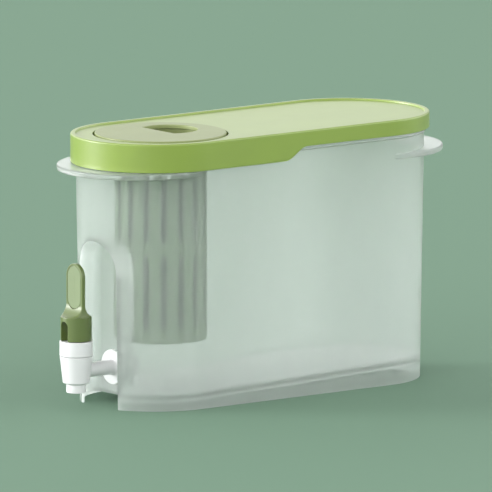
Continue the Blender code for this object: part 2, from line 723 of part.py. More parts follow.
def make_lever(finish, metal, parent):
    """Lever, thumb pad and pin, on the hinge's axis through the plunger's head."""
    down = (0, 0, PIN_Z)
    lever = piece("tap_lever", skin(lever_sections()), finish, parent, offset=down)
    half = LEVER_SLOT / 2
    slot_low = COLLAR_Z - OVERRUN
    slot_outline = [(-half, slot_low), (half, slot_low)]
    for step in range(HALF_ROUND + 1):
        angle = math.pi * step / HALF_ROUND
        arch_z = COLLAR_Z + LEVER_SLOT_TALL - half + half * math.sin(angle)
        slot_outline.append((half * math.cos(angle), arch_z))
    slot_ends = (-LEVER_R - OVERRUN, LEVER_SLOT_BACK)
    slot = skin([[(x, y, z) for x, z in slot_outline] for y in slot_ends])
    pin_near = PIN_LENGTH / 2 + GAP
    pin_hole = along_x(disc(PIN_R + PIN_CLEARANCE, -PIN_LENGTH, pin_near, SMALL_ROUND), PIN_Z)

    pad_high = LEVER_TOP_Z - PAD_MARGIN
    pocket_back = PADDLE_FACE_Y + PAD_THICK + GAP
    pocket = stadium(PAD_HALF + GAP, PAD_LOW_Z - GAP, pad_high + GAP, -LEVER_R, pocket_back)
    cut(lever, helper("lever_slot", slot, parent, offset=down))
    cut(lever, helper("lever_pin_hole", pin_hole, parent, offset=down))
    cut(lever, helper("pad_pocket", pocket, parent, offset=down))

    pad = stadium(PAD_HALF, PAD_LOW_Z, pad_high, PADDLE_FACE_Y, PADDLE_FACE_Y + PAD_THICK)
    piece("lever_thumb_pad", pad, finish, parent, offset=down)
    pin = along_x(disc(PIN_R, -PIN_LENGTH / 2, PIN_LENGTH / 2, SMALL_ROUND), PIN_Z)
    piece("lever_pin", pin, metal, parent, offset=down)


def main():
    clear_scene()
    plastic("helper", (0.5, 0.5, 0.5), 0.5)
    milky = plastic("frosted_tank", (0.78, 0.84, 0.79), 0.35, alpha=0.55)
    green = plastic("pale_green_lid", (0.55, 0.68, 0.28), 0.4)
    sage = plastic("sage_cap", (0.47, 0.56, 0.33), 0.45)
    dark_green = plastic("green_lever", (0.24, 0.36, 0.10), 0.4)
    white = plastic("white_tap", (0.86, 0.87, 0.86), 0.35)
    silicone = plastic("silicone", (0.80, 0.83, 0.82), 0.55, alpha=0.8)
    wire = steel("stainless_wire", (0.62, 0.63, 0.64), 0.25)

    centre = empty("tank_centre", (0, TANK_Y, 0))
    lid_axis = empty("lid_axis", (0, 0, 0), centre)
    port_axis = empty("port_axis", (0, PORT_Y, 0), lid_axis)
    tap_axis = empty("tap_axis", (0, TAP_Y, 0), centre)
    lever_hinge = empty("lever_hinge", (0, 0, PIN_Z), tap_axis)

    make_tank(milky, centre)
    make_lid(green, lid_axis)
    make_lid_gasket(silicone, lid_axis)
    make_cap(sage, silicone, port_axis)
    make_basket(sage, port_axis)
    make_tap_body(white, tap_axis)
    make_bonnet(white, silicone, tap_axis)
    make_shank_fittings(white, silicone, centre)
    make_plunger(white, silicone, tap_axis)
    make_spring(wire, tap_axis)
    make_lever(dark_green, wire, lever_hinge)


main()
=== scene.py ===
"""A cold-drinks dispenser for a fridge shelf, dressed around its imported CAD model.

The CAD model gives every place and fit. This script replaces its visible mouldings with finely
rounded ones, gives each finish its grain and its variation, and stands the object in a plain studio.

Metres, +Z up. The tap faces -Y and the tank is long along Y.
"""

import json
import logging
import math
from dataclasses import dataclass, field, replace
from enum import Enum
from typing import Any, Callable, Sequence, Union

import bmesh
import bpy
from bmesh.types import BMEdge, BMesh, BMVert
from mathutils import Matrix, Vector

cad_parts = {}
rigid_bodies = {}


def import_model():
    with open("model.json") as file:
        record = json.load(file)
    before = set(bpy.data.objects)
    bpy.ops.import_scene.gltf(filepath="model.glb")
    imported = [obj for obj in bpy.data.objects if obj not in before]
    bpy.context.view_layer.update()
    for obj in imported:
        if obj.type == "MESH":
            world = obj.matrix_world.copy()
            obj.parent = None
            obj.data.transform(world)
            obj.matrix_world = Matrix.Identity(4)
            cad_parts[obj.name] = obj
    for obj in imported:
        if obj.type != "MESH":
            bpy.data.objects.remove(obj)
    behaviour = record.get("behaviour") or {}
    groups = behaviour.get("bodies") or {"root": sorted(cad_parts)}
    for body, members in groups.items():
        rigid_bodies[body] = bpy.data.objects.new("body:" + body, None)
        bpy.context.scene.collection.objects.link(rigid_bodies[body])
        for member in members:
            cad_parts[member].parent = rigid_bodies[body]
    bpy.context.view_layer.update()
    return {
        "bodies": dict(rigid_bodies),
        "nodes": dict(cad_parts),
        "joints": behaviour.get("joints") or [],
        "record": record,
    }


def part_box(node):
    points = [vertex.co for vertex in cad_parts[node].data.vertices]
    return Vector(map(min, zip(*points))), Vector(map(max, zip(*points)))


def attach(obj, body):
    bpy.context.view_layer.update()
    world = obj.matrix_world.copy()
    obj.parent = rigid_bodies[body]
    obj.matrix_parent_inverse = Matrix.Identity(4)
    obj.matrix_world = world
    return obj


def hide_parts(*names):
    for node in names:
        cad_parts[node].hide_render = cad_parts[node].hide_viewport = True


LOG = logging.getLogger("dispenser")
MM = 0.001
OVERRUN = 12 * MM  # how far a cutter runs past what it cuts
MERGED = 1e-7  # points closer than this are one

Height = Union[float, Callable[[float], float]]
Colour = tuple[float, float, float]


class Body(Enum):
    """The bodies of the frame, each of which moves as one."""

    DISPENSER = "dispenser"
    LID = "lid"
    INFUSER = "infuser"
    CAP = "cap"
    LEVER = "lever"


class Cut(Enum):
    """What a Boolean does with its second shape."""

    TAKE = "DIFFERENCE"
    JOIN = "UNION"


# ---------------------------------------------------------------------------------------------
# Shader sums and finishes
# ---------------------------------------------------------------------------------------------


class Shade:
    """A number carried by a shader socket. Python's arithmetic on it adds Math nodes."""

    def __init__(self, book: "NodeBook", socket: bpy.types.NodeSocket) -> None:
        """Keeps the socket and the tree that it belongs to."""
        self.book = book
        self.socket = socket

    def _sum(self, operation: str, first: Any, second: Any) -> "Shade":
        """Adds one Math node.

        Args:
            operation: the Math node's operation.
            first: a number or a Shade.
            second: a number or a Shade.

        Returns:
            The node's result.
        """
        return self.book.shade("ShaderNodeMath", {"operation": operation}, {0: first, 1: second})

    def __add__(self, other: Any) -> "Shade":
        """This plus other."""
        return self._sum("ADD", self, other)

    def __radd__(self, other: Any) -> "Shade":
        """Other plus this."""
        return self._sum("ADD", other, self)

    def __mul__(self, other: Any) -> "Shade":
        """This times other."""
        return self._sum("MULTIPLY", self, other)

    def ramp(self, low: float, high: float) -> "Shade":
        """Smoothly 0 below low and 1 above high."""
        settings = {"interpolation_type": "SMOOTHSTEP"}
        return self.book.shade("ShaderNodeMapRange", settings, {"Value": self, 1: low, 2: high})


class NodeBook:
    """The node tree of one material, with one way of adding a node to it."""

    def __init__(self, name: str) -> None:
        """Makes a material whose tree is empty but for its output."""
        self.material = bpy.data.materials.new(name)
        self.material.use_nodes = True
        self.tree = self.material.node_tree
        self.tree.nodes.clear()
        self.output = self.tree.nodes.new("ShaderNodeOutputMaterial")

    def node(
        self, kind: str, settings: dict[str, Any] | None = None, sockets: dict[Any, Any] | None = None
    ) -> bpy.types.Node:
        """Adds a node, sets it up and feeds its sockets.

        Args:
            kind: the node's type.
            settings: properties of the node, which are set first.
            sockets: values, Shades or sockets to link, by the name or number of the input.

        Returns:
            The new node.
        """
        node = self.tree.nodes.new(kind)
        for name, value in (settings or {}).items():
            setattr(node, name, value)
        for name, value in (sockets or {}).items():
            if isinstance(value, Shade):
                value = value.socket
            if isinstance(value, bpy.types.NodeSocket):
                self.tree.links.new(value, node.inputs[name])
            else:
                node.inputs[name].default_value = value
        return node

    def shade(self, kind: str, settings: dict[str, Any], sockets: dict[Any, Any]) -> Shade:
        """The same, giving the node's first output as a Shade."""
        return Shade(self, self.node(kind, settings, sockets).outputs[0])

    def noise(self, size: float, detail: float = 2.0, stretch: Colour = (1, 1, 1)) -> Shade:
        """Noise on the object's own coordinates.

        Args:
            size: width of one cell, in metres.
            detail: octaves of finer noise on it.
            stretch: how much denser the noise is along each axis.

        Returns:
            Its strength, from 0 to 1.
        """
        place = self.node("ShaderNodeTexCoord").outputs["Object"]
        scaled = self.node("ShaderNodeMapping", None, {"Vector": place, "Scale": stretch})
        inputs = {"Vector": scaled.outputs[0], "Scale": 1 / size, "Detail": detail}
        return self.shade("ShaderNodeTexNoise", {}, inputs)

    def height(self) -> Shade:
        """The point's height over the ground, in metres."""
        place = self.node("ShaderNodeTexCoord").outputs["Object"]
        return Shade(self, self.node("ShaderNodeSeparateXYZ", None, {0: place}).outputs["Z"])

    def blend(self, share: Shade, first: Colour, second: Colour) -> bpy.types.NodeSocket:
        """A colour from first to second as share goes from 0 to 1."""
        inputs = {"Factor": share, 6: (*first, 1), 7: (*second, 1)}
        return self.node("ShaderNodeMix", {"data_type": "RGBA"}, inputs).outputs[2]

    def bump(self, strength: float, depth: float, height: Shade) -> bpy.types.NodeSocket:
        """A bumped normal: depth is the relief in metres."""
        inputs = {"Strength": strength, "Distance": depth, "Height": height}
        return self.node("ShaderNodeBump", None, inputs).outputs[0]

    def finish(self, surface: bpy.types.Node) -> bpy.types.Material:
        """Joins the surface's shader to the output and gives the material."""
        self.tree.links.new(surface.outputs[0], self.output.inputs["Surface"])
        return self.material


def darker(colour: Colour, share: float) -> Colour:
    """The colour, share darker."""
    return tuple(part * (1 - share) for part in colour)


@dataclass(frozen=True)
class MouldedPlastic:
    """Satin injection-moulded plastic with a fine spark-eroded grain.

    Attributes:
        name: the material's name.
        colour: its base colour, linear.
        roughness: mean roughness.
        mottle: how much darker the flow marks are.
        grain: width of one pit of the grain, in metres.
        relief: depth of the grain, in metres.
        polish: weight of the skin over it, which whitens it at low angles.
        skin_roughness: roughness of that skin.
        skin_ior: its index of refraction.
    """

    name: str
    colour: Colour
    roughness: float
    mottle: float = 0.06
    grain: float = 0.35 * MM
    relief: float = 0.02 * MM
    polish: float = 0.2
    skin_roughness: float = 0.42
    skin_ior: float = 1.65

    def make(self) -> bpy.types.Material:
        """The finish as a material."""
        book = NodeBook(self.name)
        flow = book.noise(28 * MM, 3.0, (1, 0.6, 1.4)).ramp(0.3, 0.7)
        pits = book.noise(self.grain, 2.0)
        broad = book.noise(9 * MM, 2.0)
        inputs = {
            "Base Color": book.blend(flow, self.colour, darker(self.colour, self.mottle)),
            "Roughness": self.roughness - 0.04 + broad * 0.05 + pits * 0.03,
            "Normal": book.bump(0.6, self.relief, pits),
            "Coat Weight": self.polish,
            "Coat Roughness": self.skin_roughness,
            "Coat IOR": self.skin_ior,
        }
        return book.finish(book.node("ShaderNodeBsdfPrincipled", None, inputs))


@dataclass(frozen=True)
class BasketPlastic:
    """Sage plastic of the basket, with shade painted on the inner face of its wall: a dark colour that
    stands in for the shade inside the basket and its slots.

    Attributes:
        name: the material's name.
        outer: colour of the outer face, linear.
        inner: colour of the painted shade on the inner face, linear.
        axis: x and y of the basket's axis.
        inner_r: radius up to which the painted shade holds.
        turnover: distance over which the painted shade turns into the outer colour.
        roughness: mean roughness.
    """

    name: str
    outer: Colour
    inner: Colour
    axis: tuple[float, float]
    inner_r: float
    turnover: float = 0.5 * MM
    roughness: float = 0.48

    def make(self) -> bpy.types.Material:
        """The finish as a material."""
        book = NodeBook(self.name)
        place = book.node("ShaderNodeTexCoord").outputs["Object"]
        centred = {"Vector": place, "Location": (-self.axis[0], -self.axis[1], 0), "Scale": (1, 1, 0)}
        across = book.node("ShaderNodeMapping", None, centred).outputs[0]
        length = book.node("ShaderNodeVectorMath", {"operation": "LENGTH"}, {0: across}).outputs["Value"]
        # painted shade: inside inner_r the wall takes the dark inner colour, which stands in for the
        # shade inside the basket
        outside = Shade(book, length).ramp(self.inner_r, self.inner_r + self.turnover)
        flow = book.noise(20 * MM, 3.0, (1, 1, 0.5)).ramp(0.3, 0.7)
        skin = book.blend(flow, self.outer, darker(self.outer, 0.08))
        sockets = {"Factor": outside, 6: (*self.inner, 1), 7: skin}
        colour = book.node("ShaderNodeMix", {"data_type": "RGBA"}, sockets).outputs[2]
        pits = book.noise(0.35 * MM, 2.0)
        inputs = {
            "Base Color": colour,
            "Roughness": self.roughness - 0.03 + pits * 0.06,
            "Normal": book.bump(0.5, 0.02 * MM, pits),
        }
        return book.finish(book.node("ShaderNodeBsdfPrincipled", None, inputs))


@dataclass(frozen=True)
class FrostedWall:
    """Natural polypropylene: clear resin with a frosted face, and milk in it.

    Attributes:
        name: the material's name.
        clear: tint of the light that passes through.
        milk: colour of the light that scatters back.
        milkiness: share of the milk in the wall.
        frost: roughness of the clear part, which blurs what is behind.
        through: share of the milk's light that comes through from behind.
        satin: roughness of the milky part.
        foot: heights between which the milkier foot turns into the wall.
        foot_milk: the foot's milk as a multiple of the wall's.
    """

    name: str
    clear: Colour
    milk: Colour
    milkiness: float
    frost: float
    through: float = 0.75
    satin: float = 0.42
    foot: tuple[float, float] = (7 * MM, 12 * MM)
    foot_milk: float = 1.35

    def make(self) -> bpy.types.Material:
        """The finish as a material."""
        book = NodeBook(self.name)
        cloud = book.noise(46 * MM, 2.0, (1, 1, 0.5))
        pits = book.noise(0.3 * MM, 2.0)
        normal = book.bump(0.35, 0.015 * MM, pits)
        milk_colour = book.blend(cloud, self.milk, darker(self.milk, 0.04))
        clear = book.node(
            "ShaderNodeBsdfPrincipled",
            None,
            {
                "Base Color": (*self.clear, 1),
                "Transmission Weight": 1.0,
                "Roughness": self.frost,
                "IOR": 1.4,
                "Normal": normal,
            },
        )
        front = book.node(
            "ShaderNodeBsdfPrincipled",
            None,
            {"Base Color": milk_colour, "Roughness": self.satin, "Normal": normal},
        )
        behind = book.node("ShaderNodeBsdfTranslucent", None, {"Color": milk_colour})
        milk_sides = {0: self.through, 1: front.outputs[0], 2: behind.outputs[0]}
        milk = book.node("ShaderNodeMixShader", None, milk_sides)
        above_foot = book.height().ramp(*self.foot)
        milkier = self.foot_milk + above_foot * (1 - self.foot_milk)
        share = (self.milkiness - 0.03 + cloud * 0.06) * milkier
        inputs = {0: share, 1: clear.outputs[0], 2: milk.outputs[0]}
        return book.finish(book.node("ShaderNodeMixShader", None, inputs))


@dataclass(frozen=True)
class SteelWire:
    """Drawn stainless steel.

    Attributes:
        name: the material's name.
        colour: its base colour, linear.
        roughness: mean roughness.
    """

    name: str
    colour: Colour = (0.55, 0.56, 0.57)
    roughness: float = 0.24

    def make(self) -> bpy.types.Material:
        """The finish as a material."""
        book = NodeBook(self.name)
        draw = book.noise(0.2 * MM, 2.0, (1, 1, 0.1))
        inputs = {
            "Base Color": book.blend(draw, self.colour, darker(self.colour, 0.15)),
            "Metallic": 1.0,
            "Roughness": self.roughness + draw * 0.1,
            "Normal": book.bump(0.3, 0.004 * MM, draw),
        }
        return book.finish(book.node("ShaderNodeBsdfPrincipled", None, inputs))


class Finishes:
    """Every finish of the object, each made once."""

    def __init__(self, port: tuple[float, float]) -> None:
        """Makes the materials. The basket's is centred on the port."""
        self.tank = FrostedWall("frosted_tank", (0.98, 1.0, 0.99), (0.95, 0.98, 0.96), 0.30, 0.03).make()
        self.lid = MouldedPlastic("lid_green", (0.18, 0.272, 0.006), 0.44, polish=0.95).make()
        self.cap = MouldedPlastic("cap_sage", (0.22, 0.265, 0.095), 0.44, polish=0.25).make()
        # the basket's sage, and the dark colour of the shade painted inside the basket
        sage, painted_shade_sage = (0.15, 0.235, 0.125), (0.012, 0.06, 0.055)
        self.basket = BasketPlastic("basket_sage", sage, painted_shade_sage, port, 31.9 * MM).make()
        # painted light: the thumb pad is a lighter copy of the lever's green, standing in for the key
        # lamp on its front face
        self.pad = MouldedPlastic("thumb_pad_painted_light_green", (0.145, 0.195, 0.08), 0.44, polish=0.5).make()
        self.lever = MouldedPlastic("lever_green", (0.085, 0.128, 0.018), 0.38, polish=0.55).make()
        self.tap = MouldedPlastic("tap_white", (0.67, 0.67, 0.675), 0.3, mottle=0.02).make()
        self.silicone = MouldedPlastic("silicone", (0.72, 0.75, 0.74), 0.55, mottle=0.03).make()
        self.wire = SteelWire("stainless_wire").make()


# ---------------------------------------------------------------------------------------------
# Shapes
# ---------------------------------------------------------------------------------------------


@dataclass(frozen=True)
class Outline:
    """A closed outline in plan: a circle whose quarters have been moved apart.

    Attributes:
        radius: curve of the corners, in metres.
        spread_x: how far the quarters have moved along X.
        spread_y: how far they have moved along Y.
        centre: the outline's middle, in X and Y.
        segments: edges round the circle, a multiple of four.
        side_cuts: points added along each long straight side.
    """

    radius: float
    spread_x: float = 0.0
    spread_y: float = 0.0
    centre: tuple[float, float] = (0.0, 0.0)
    segments: int = 96
    side_cuts: int = 0

    def grown(self, by: float) -> "Outline":
        """The outline moved outwards by a distance."""
        return replace(self, radius=self.radius + by)

    def draw(self, bm: BMesh, z: Height) -> list[BMEdge]:
        """Adds the outline to a mesh.

        Args:
            bm: the mesh.
            z: its height, or a function that gives the height at each y.

        Returns:
            The outline's edges.
        """
        half_step = Matrix.Rotation(math.pi / self.segments, 4, "Z")
        verts = bmesh.ops.create_circle(
            bm, radius=self.radius, segments=self.segments, matrix=half_step
        )["verts"]
        edges = list({edge for vert in verts for edge in vert.link_edges})
        for axis, spread in ((0, self.spread_x), (1, self.spread_y)):
            for side in (1, -1):
                moved = [vert for vert in verts if vert.co[axis] * side > 0]
                shift = Vector((0, 0, 0))
                shift[axis] = side * spread
                bmesh.ops.translate(bm, verts=moved, vec=shift)
        if self.side_cuts:
            long_edges = sorted(edges, key=lambda edge: edge.calc_length())[-2:]
            added = bmesh.ops.subdivide_edges(bm, edges=long_edges, cuts=self.side_cuts)["geom_inner"]
            verts = list(connected(next(item for item in added if isinstance(item, BMVert))))
            edges = list({edge for vert in verts for edge in vert.link_edges})
        bmesh.ops.translate(bm, verts=verts, vec=(*self.centre, 0))
        for vert in verts:
            vert.co.z = z(vert.co.y) if callable(z) else z
        return edges


def connected(start: BMVert) -> set[BMVert]:
    """Every vertex that edges join to the first one."""
    found = {start}
    waiting = [start]
    while waiting:
        vert = waiting.pop()
        for edge in vert.link_edges:
            other = edge.other_vert(vert)
            if other not in found:
                found.add(other)
                waiting.append(other)
    return found


@dataclass(frozen=True)
class Dee:
    """A disc with one straight side, in plan.

    Attributes:
        radius: the disc's radius.
        middle: the disc's middle.
        side: y of the straight side; the disc lies beyond it.
        steps: edges round the curve.
    """

    radius: float
    middle: tuple[float, float]
    side: float
    steps: int = 72

    def grown(self, by: float) -> "Dee":
        """The outline moved outwards by a distance."""
        return replace(self, radius=self.radius + by, side=self.side - by)

    def draw(self, bm: BMesh, z: Height) -> list[BMEdge]:
        """Adds the outline to a mesh at height z and gives its edges."""
        start = math.asin((self.side - self.middle[1]) / self.radius)
        x = self.middle[0] + self.radius * math.cos(start)
        first = bm.verts.new((x, self.side, z))
        spun = bmesh.ops.spin(
            bm,
            geom=[first],
            cent=(*self.middle, z),
            axis=(0, 0, 1),
            angle=math.pi - 2 * start,
            steps=self.steps,
        )
        last = next(item for item in spun["geom_last"] if isinstance(item, BMVert))
        side = bm.edges.new((last, first))
        added = bmesh.ops.subdivide_edges(bm, edges=[side], cuts=self.steps // 3)["geom_inner"]
        verts = connected(next(item for item in added if isinstance(item, BMVert)))
        return list({edge for vert in verts for edge in vert.link_edges})


AnyOutline = Union[Outline, Dee]


class Skin:
    """A surface built up ring by ring, each ring joined to the one before it.

    A new ring is drawn well above its place while it is bridged, because two rings in one plane
    would be paired across the middle.
    """

    LIFT = Vector((0, 0, 0.5))

    def __init__(self) -> None:
        """Starts an empty skin."""
        self.bm = bmesh.new()
        self.rings: list[list[BMEdge]] = []

    def ring(self, outline: AnyOutline, z: Height) -> "Skin":
        """Adds a ring and bridges to it from the last one."""
        edges = outline.draw(self.bm, z)
        self.rings.append(edges)
        if len(self.rings) > 1:
            verts = list({vert for edge in edges for vert in edge.verts})
            bmesh.ops.translate(self.bm, verts=verts, vec=self.LIFT)
            bmesh.ops.bridge_loops(self.bm, edges=self.rings[-2] + edges)
            bmesh.ops.translate(self.bm, verts=verts, vec=-self.LIFT)
        return self

    def fill(self, ring: list[BMEdge]) -> "Skin":
        """Fills the flat between the last ring and another one, which becomes the last."""
        self.rings.append(ring)
        edges = self.rings[-2] + ring
        bmesh.ops.triangle_fill(self.bm, edges=edges, use_beauty=True, normal=(0, 0, 1))
        return self

    def flat(self, outline: AnyOutline, z: float) -> "Skin":
        """Adds a ring at the last one's height and fills the flat between the two."""
        return self.fill(outline.draw(self.bm, z))

    def round(
        self, outline: AnyOutline, z: Height, radius: float, start: float, turn: float, steps: int = 4
    ) -> "Skin":
        """Adds the rings of a rounded edge.

        Args:
            outline: the outline through the middle of the edge's curve.
            z: height of the middle of the curve.
            radius: the curve's radius.
            start: degrees of the first ring, where 0 points outwards and 90 up.
            turn: degrees that the curve turns through.
            steps: edges across the curve.

        Returns:
            The skin.
        """
        for step in range(steps + 1):
            angle = math.radians(start + turn * step / steps)
            rise = radius * math.sin(angle)
            height = (lambda y, r=rise: z(y) + r) if callable(z) else z + rise
            self.ring(outline.grown(radius * math.cos(angle)), height)
        return self

    def ends(self) -> "Skin":
        """Closes the first and the last ring with a face each."""
        for ring in (self.rings[0], self.rings[-1]):
            bmesh.ops.edgeloop_fill(self.bm, edges=ring)
        return self


def turned(
    profile: Sequence[tuple[float, float]], segments: int = 96, edge: float = 0.0, steps: int = 3
) -> BMesh:
    """A profile turned about Z, with its corners rounded.

    Args:
        profile: points of radius and height. One that starts and ends on the axis makes a solid
            piece, and any other one is closed into a ring.
        segments: facets round the axis.
        edge: rounding of each corner.
        steps: edges across each rounding.

    Returns:
        The turned mesh.
    """
    bm = bmesh.new()
    verts = [bm.verts.new((radius, 0, z)) for radius, z in profile]
    pairs = list(zip(verts, verts[1:]))
    if profile[0][0] > 0:
        pairs.append((verts[-1], verts[0]))
    edges = [bm.edges.new(pair) for pair in pairs]
    bmesh.ops.spin(
        bm, geom=verts + edges, axis=(0, 0, 1), angle=math.tau, steps=segments, use_merge=True
    )
    bmesh.ops.remove_doubles(bm, verts=bm.verts, dist=MERGED)
    bmesh.ops.recalc_face_normals(bm, faces=bm.faces)
    if edge:
        soften(bm, edge, steps)
    return bm


def rod(radius: float, low: float, high: float, segments: int = 48) -> BMesh:
    """A plain cylinder about Z, from one height to another."""
    return turned(((0, high), (radius, high), (radius, low), (0, low)), segments)


def soften(bm: BMesh, radius: float, steps: int = 3, least: float = 28.0) -> None:
    """Rounds every edge of a mesh that turns by more than least degrees."""
    sharp = [
        edge
        for edge in bm.edges
        if len(edge.link_faces) == 2 and edge.calc_face_angle() > math.radians(least)
    ]
    bmesh.ops.bevel(
        bm,
        geom=sharp,
        offset=radius,
        offset_type="OFFSET",
        segments=steps,
        profile=0.5,
        affect="EDGES",
        clamp_overlap=True,
        material=-1,
    )


def moved(bm: BMesh, *steps: Matrix) -> BMesh:
    """The mesh after the transforms, the first one first."""
    for matrix in steps:
        bmesh.ops.transform(bm, matrix=matrix, verts=bm.verts)
    return bm


def shift(x: float = 0.0, y: float = 0.0, z: float = 0.0) -> Matrix:
    """A move."""
    return Matrix.Translation((x, y, z))


LAY_ALONG_Y = Matrix.Rotation(-math.pi / 2, 4, "X")
LAY_ALONG_X = Matrix.Rotation(math.pi / 2, 4, "Y")
STAND_FACING_FRONT = Matrix.Rotation(math.pi / 2, 4, "X")


def solid(name: str, bm: BMesh) -> bpy.types.Object:
    """A closed mesh as an object, with its doubles merged and its faces outwards."""
    bmesh.ops.remove_doubles(bm, verts=bm.verts, dist=MERGED)
    bmesh.ops.recalc_face_normals(bm, faces=bm.faces)
    mesh = bpy.data.meshes.new(name)
    bm.to_mesh(mesh)
    bm.free()
    obj = bpy.data.objects.new(name, mesh)
    bpy.context.scene.collection.objects.link(obj)
    return obj


def carve(target: bpy.types.Object, how: Cut, *shapes: BMesh | bpy.types.Object) -> None:
    """Cuts shapes from an object, or joins them to it, for good.

    Args:
        target: the object that changes.
        how: whether the shapes are taken away or joined on.
        shapes: closed meshes, or objects that are used up.
    """
    for shape in shapes:
        other = shape if isinstance(shape, bpy.types.Object) else solid("cutter", shape)
        modifier = target.modifiers.new("carve", "BOOLEAN")
        modifier.operation = how.value
        modifier.object = other
        modifier.solver = "EXACT"
        graph = bpy.context.evaluated_depsgraph_get()
        carved = bpy.data.meshes.new_from_object(target.evaluated_get(graph))
        target.modifiers.clear()
        old = target.data
        target.data = carved
        bpy.data.meshes.remove(old)
        bpy.data.objects.remove(other, do_unlink=True)
    target.data.name = target.name


def dress(
    piece: bpy.types.Object, finish: bpy.types.Material, body: Body, slot: str, *nodes: str
) -> bpy.types.Object:
    """Gives a piece its finish and its place in the frame.

    Args:
        piece: the finished shape.
        finish: its material.
        body: the body that it rides on.
        slot: the record's material slot, not used.
        nodes: the CAD nodes that it stands for.

    Returns:
        The piece.
    """
    mesh = piece.data
    mesh.materials.clear()
    mesh.materials.append(finish)
    mesh.shade_smooth()
    mesh.set_sharp_from_angle(angle=math.radians(32))
    normals = piece.modifiers.new("even_normals", "WEIGHTED_NORMAL")
    normals.keep_sharp = True
    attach(piece, body.value)
    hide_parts(*nodes)
    LOG.info("%s: %d faces, on %s, for %s", piece.name, len(mesh.polygons), body.value, ", ".join(nodes))
    return piece


def redress(node: str, finish: bpy.types.Material) -> None:
    """Gives a CAD node that stays a better finish."""
    obj = FRAME["nodes"][node]
    for place in obj.material_slots:
        place.material = finish
    LOG.info("%s: CAD solid with finish %s", node, finish.name)


def corners(node: str) -> tuple[Vector, Vector]:
    """A CAD node's lowest and highest corners."""
    low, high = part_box(node)
    return Vector(low), Vector(high)


# ---------------------------------------------------------------------------------------------
# The dispenser
# ---------------------------------------------------------------------------------------------


@dataclass
class Plan:
    """The shared lines of the object, read from the frame."""

    gap: float = 0.3 * MM
    lid_r: float = field(init=False)
    arc_y: float = field(init=False)
    middle_y: float = field(init=False)
    top: float = field(init=False)
    front: float = field(init=False)
    port: tuple[float, float] = field(init=False)
    tap_y: float = field(init=False)

    def __post_init__(self) -> None:
        """Reads the lid, the cap and the tap."""
        low, high = corners("lid")
        self.lid_r = (high.x - low.x) / 2
        self.arc_y = (high.y - low.y) / 2 - self.lid_r
        self.middle_y = (high.y + low.y) / 2
        self.top = high.z
        self.front = low.y
        low, high = corners("cap_top")
        self.port = (0.0, (low.y + high.y) / 2)
        low, high = corners("tap_bonnet")
        self.tap_y = (low.y + high.y) / 2

    def obround(self, radius: float, segments: int = 128, side_cuts: int = 0) -> Outline:
        """An obround about the lid's end centres."""
        return Outline(radius, 0.0, self.arc_y, (0.0, self.middle_y), segments, side_cuts)


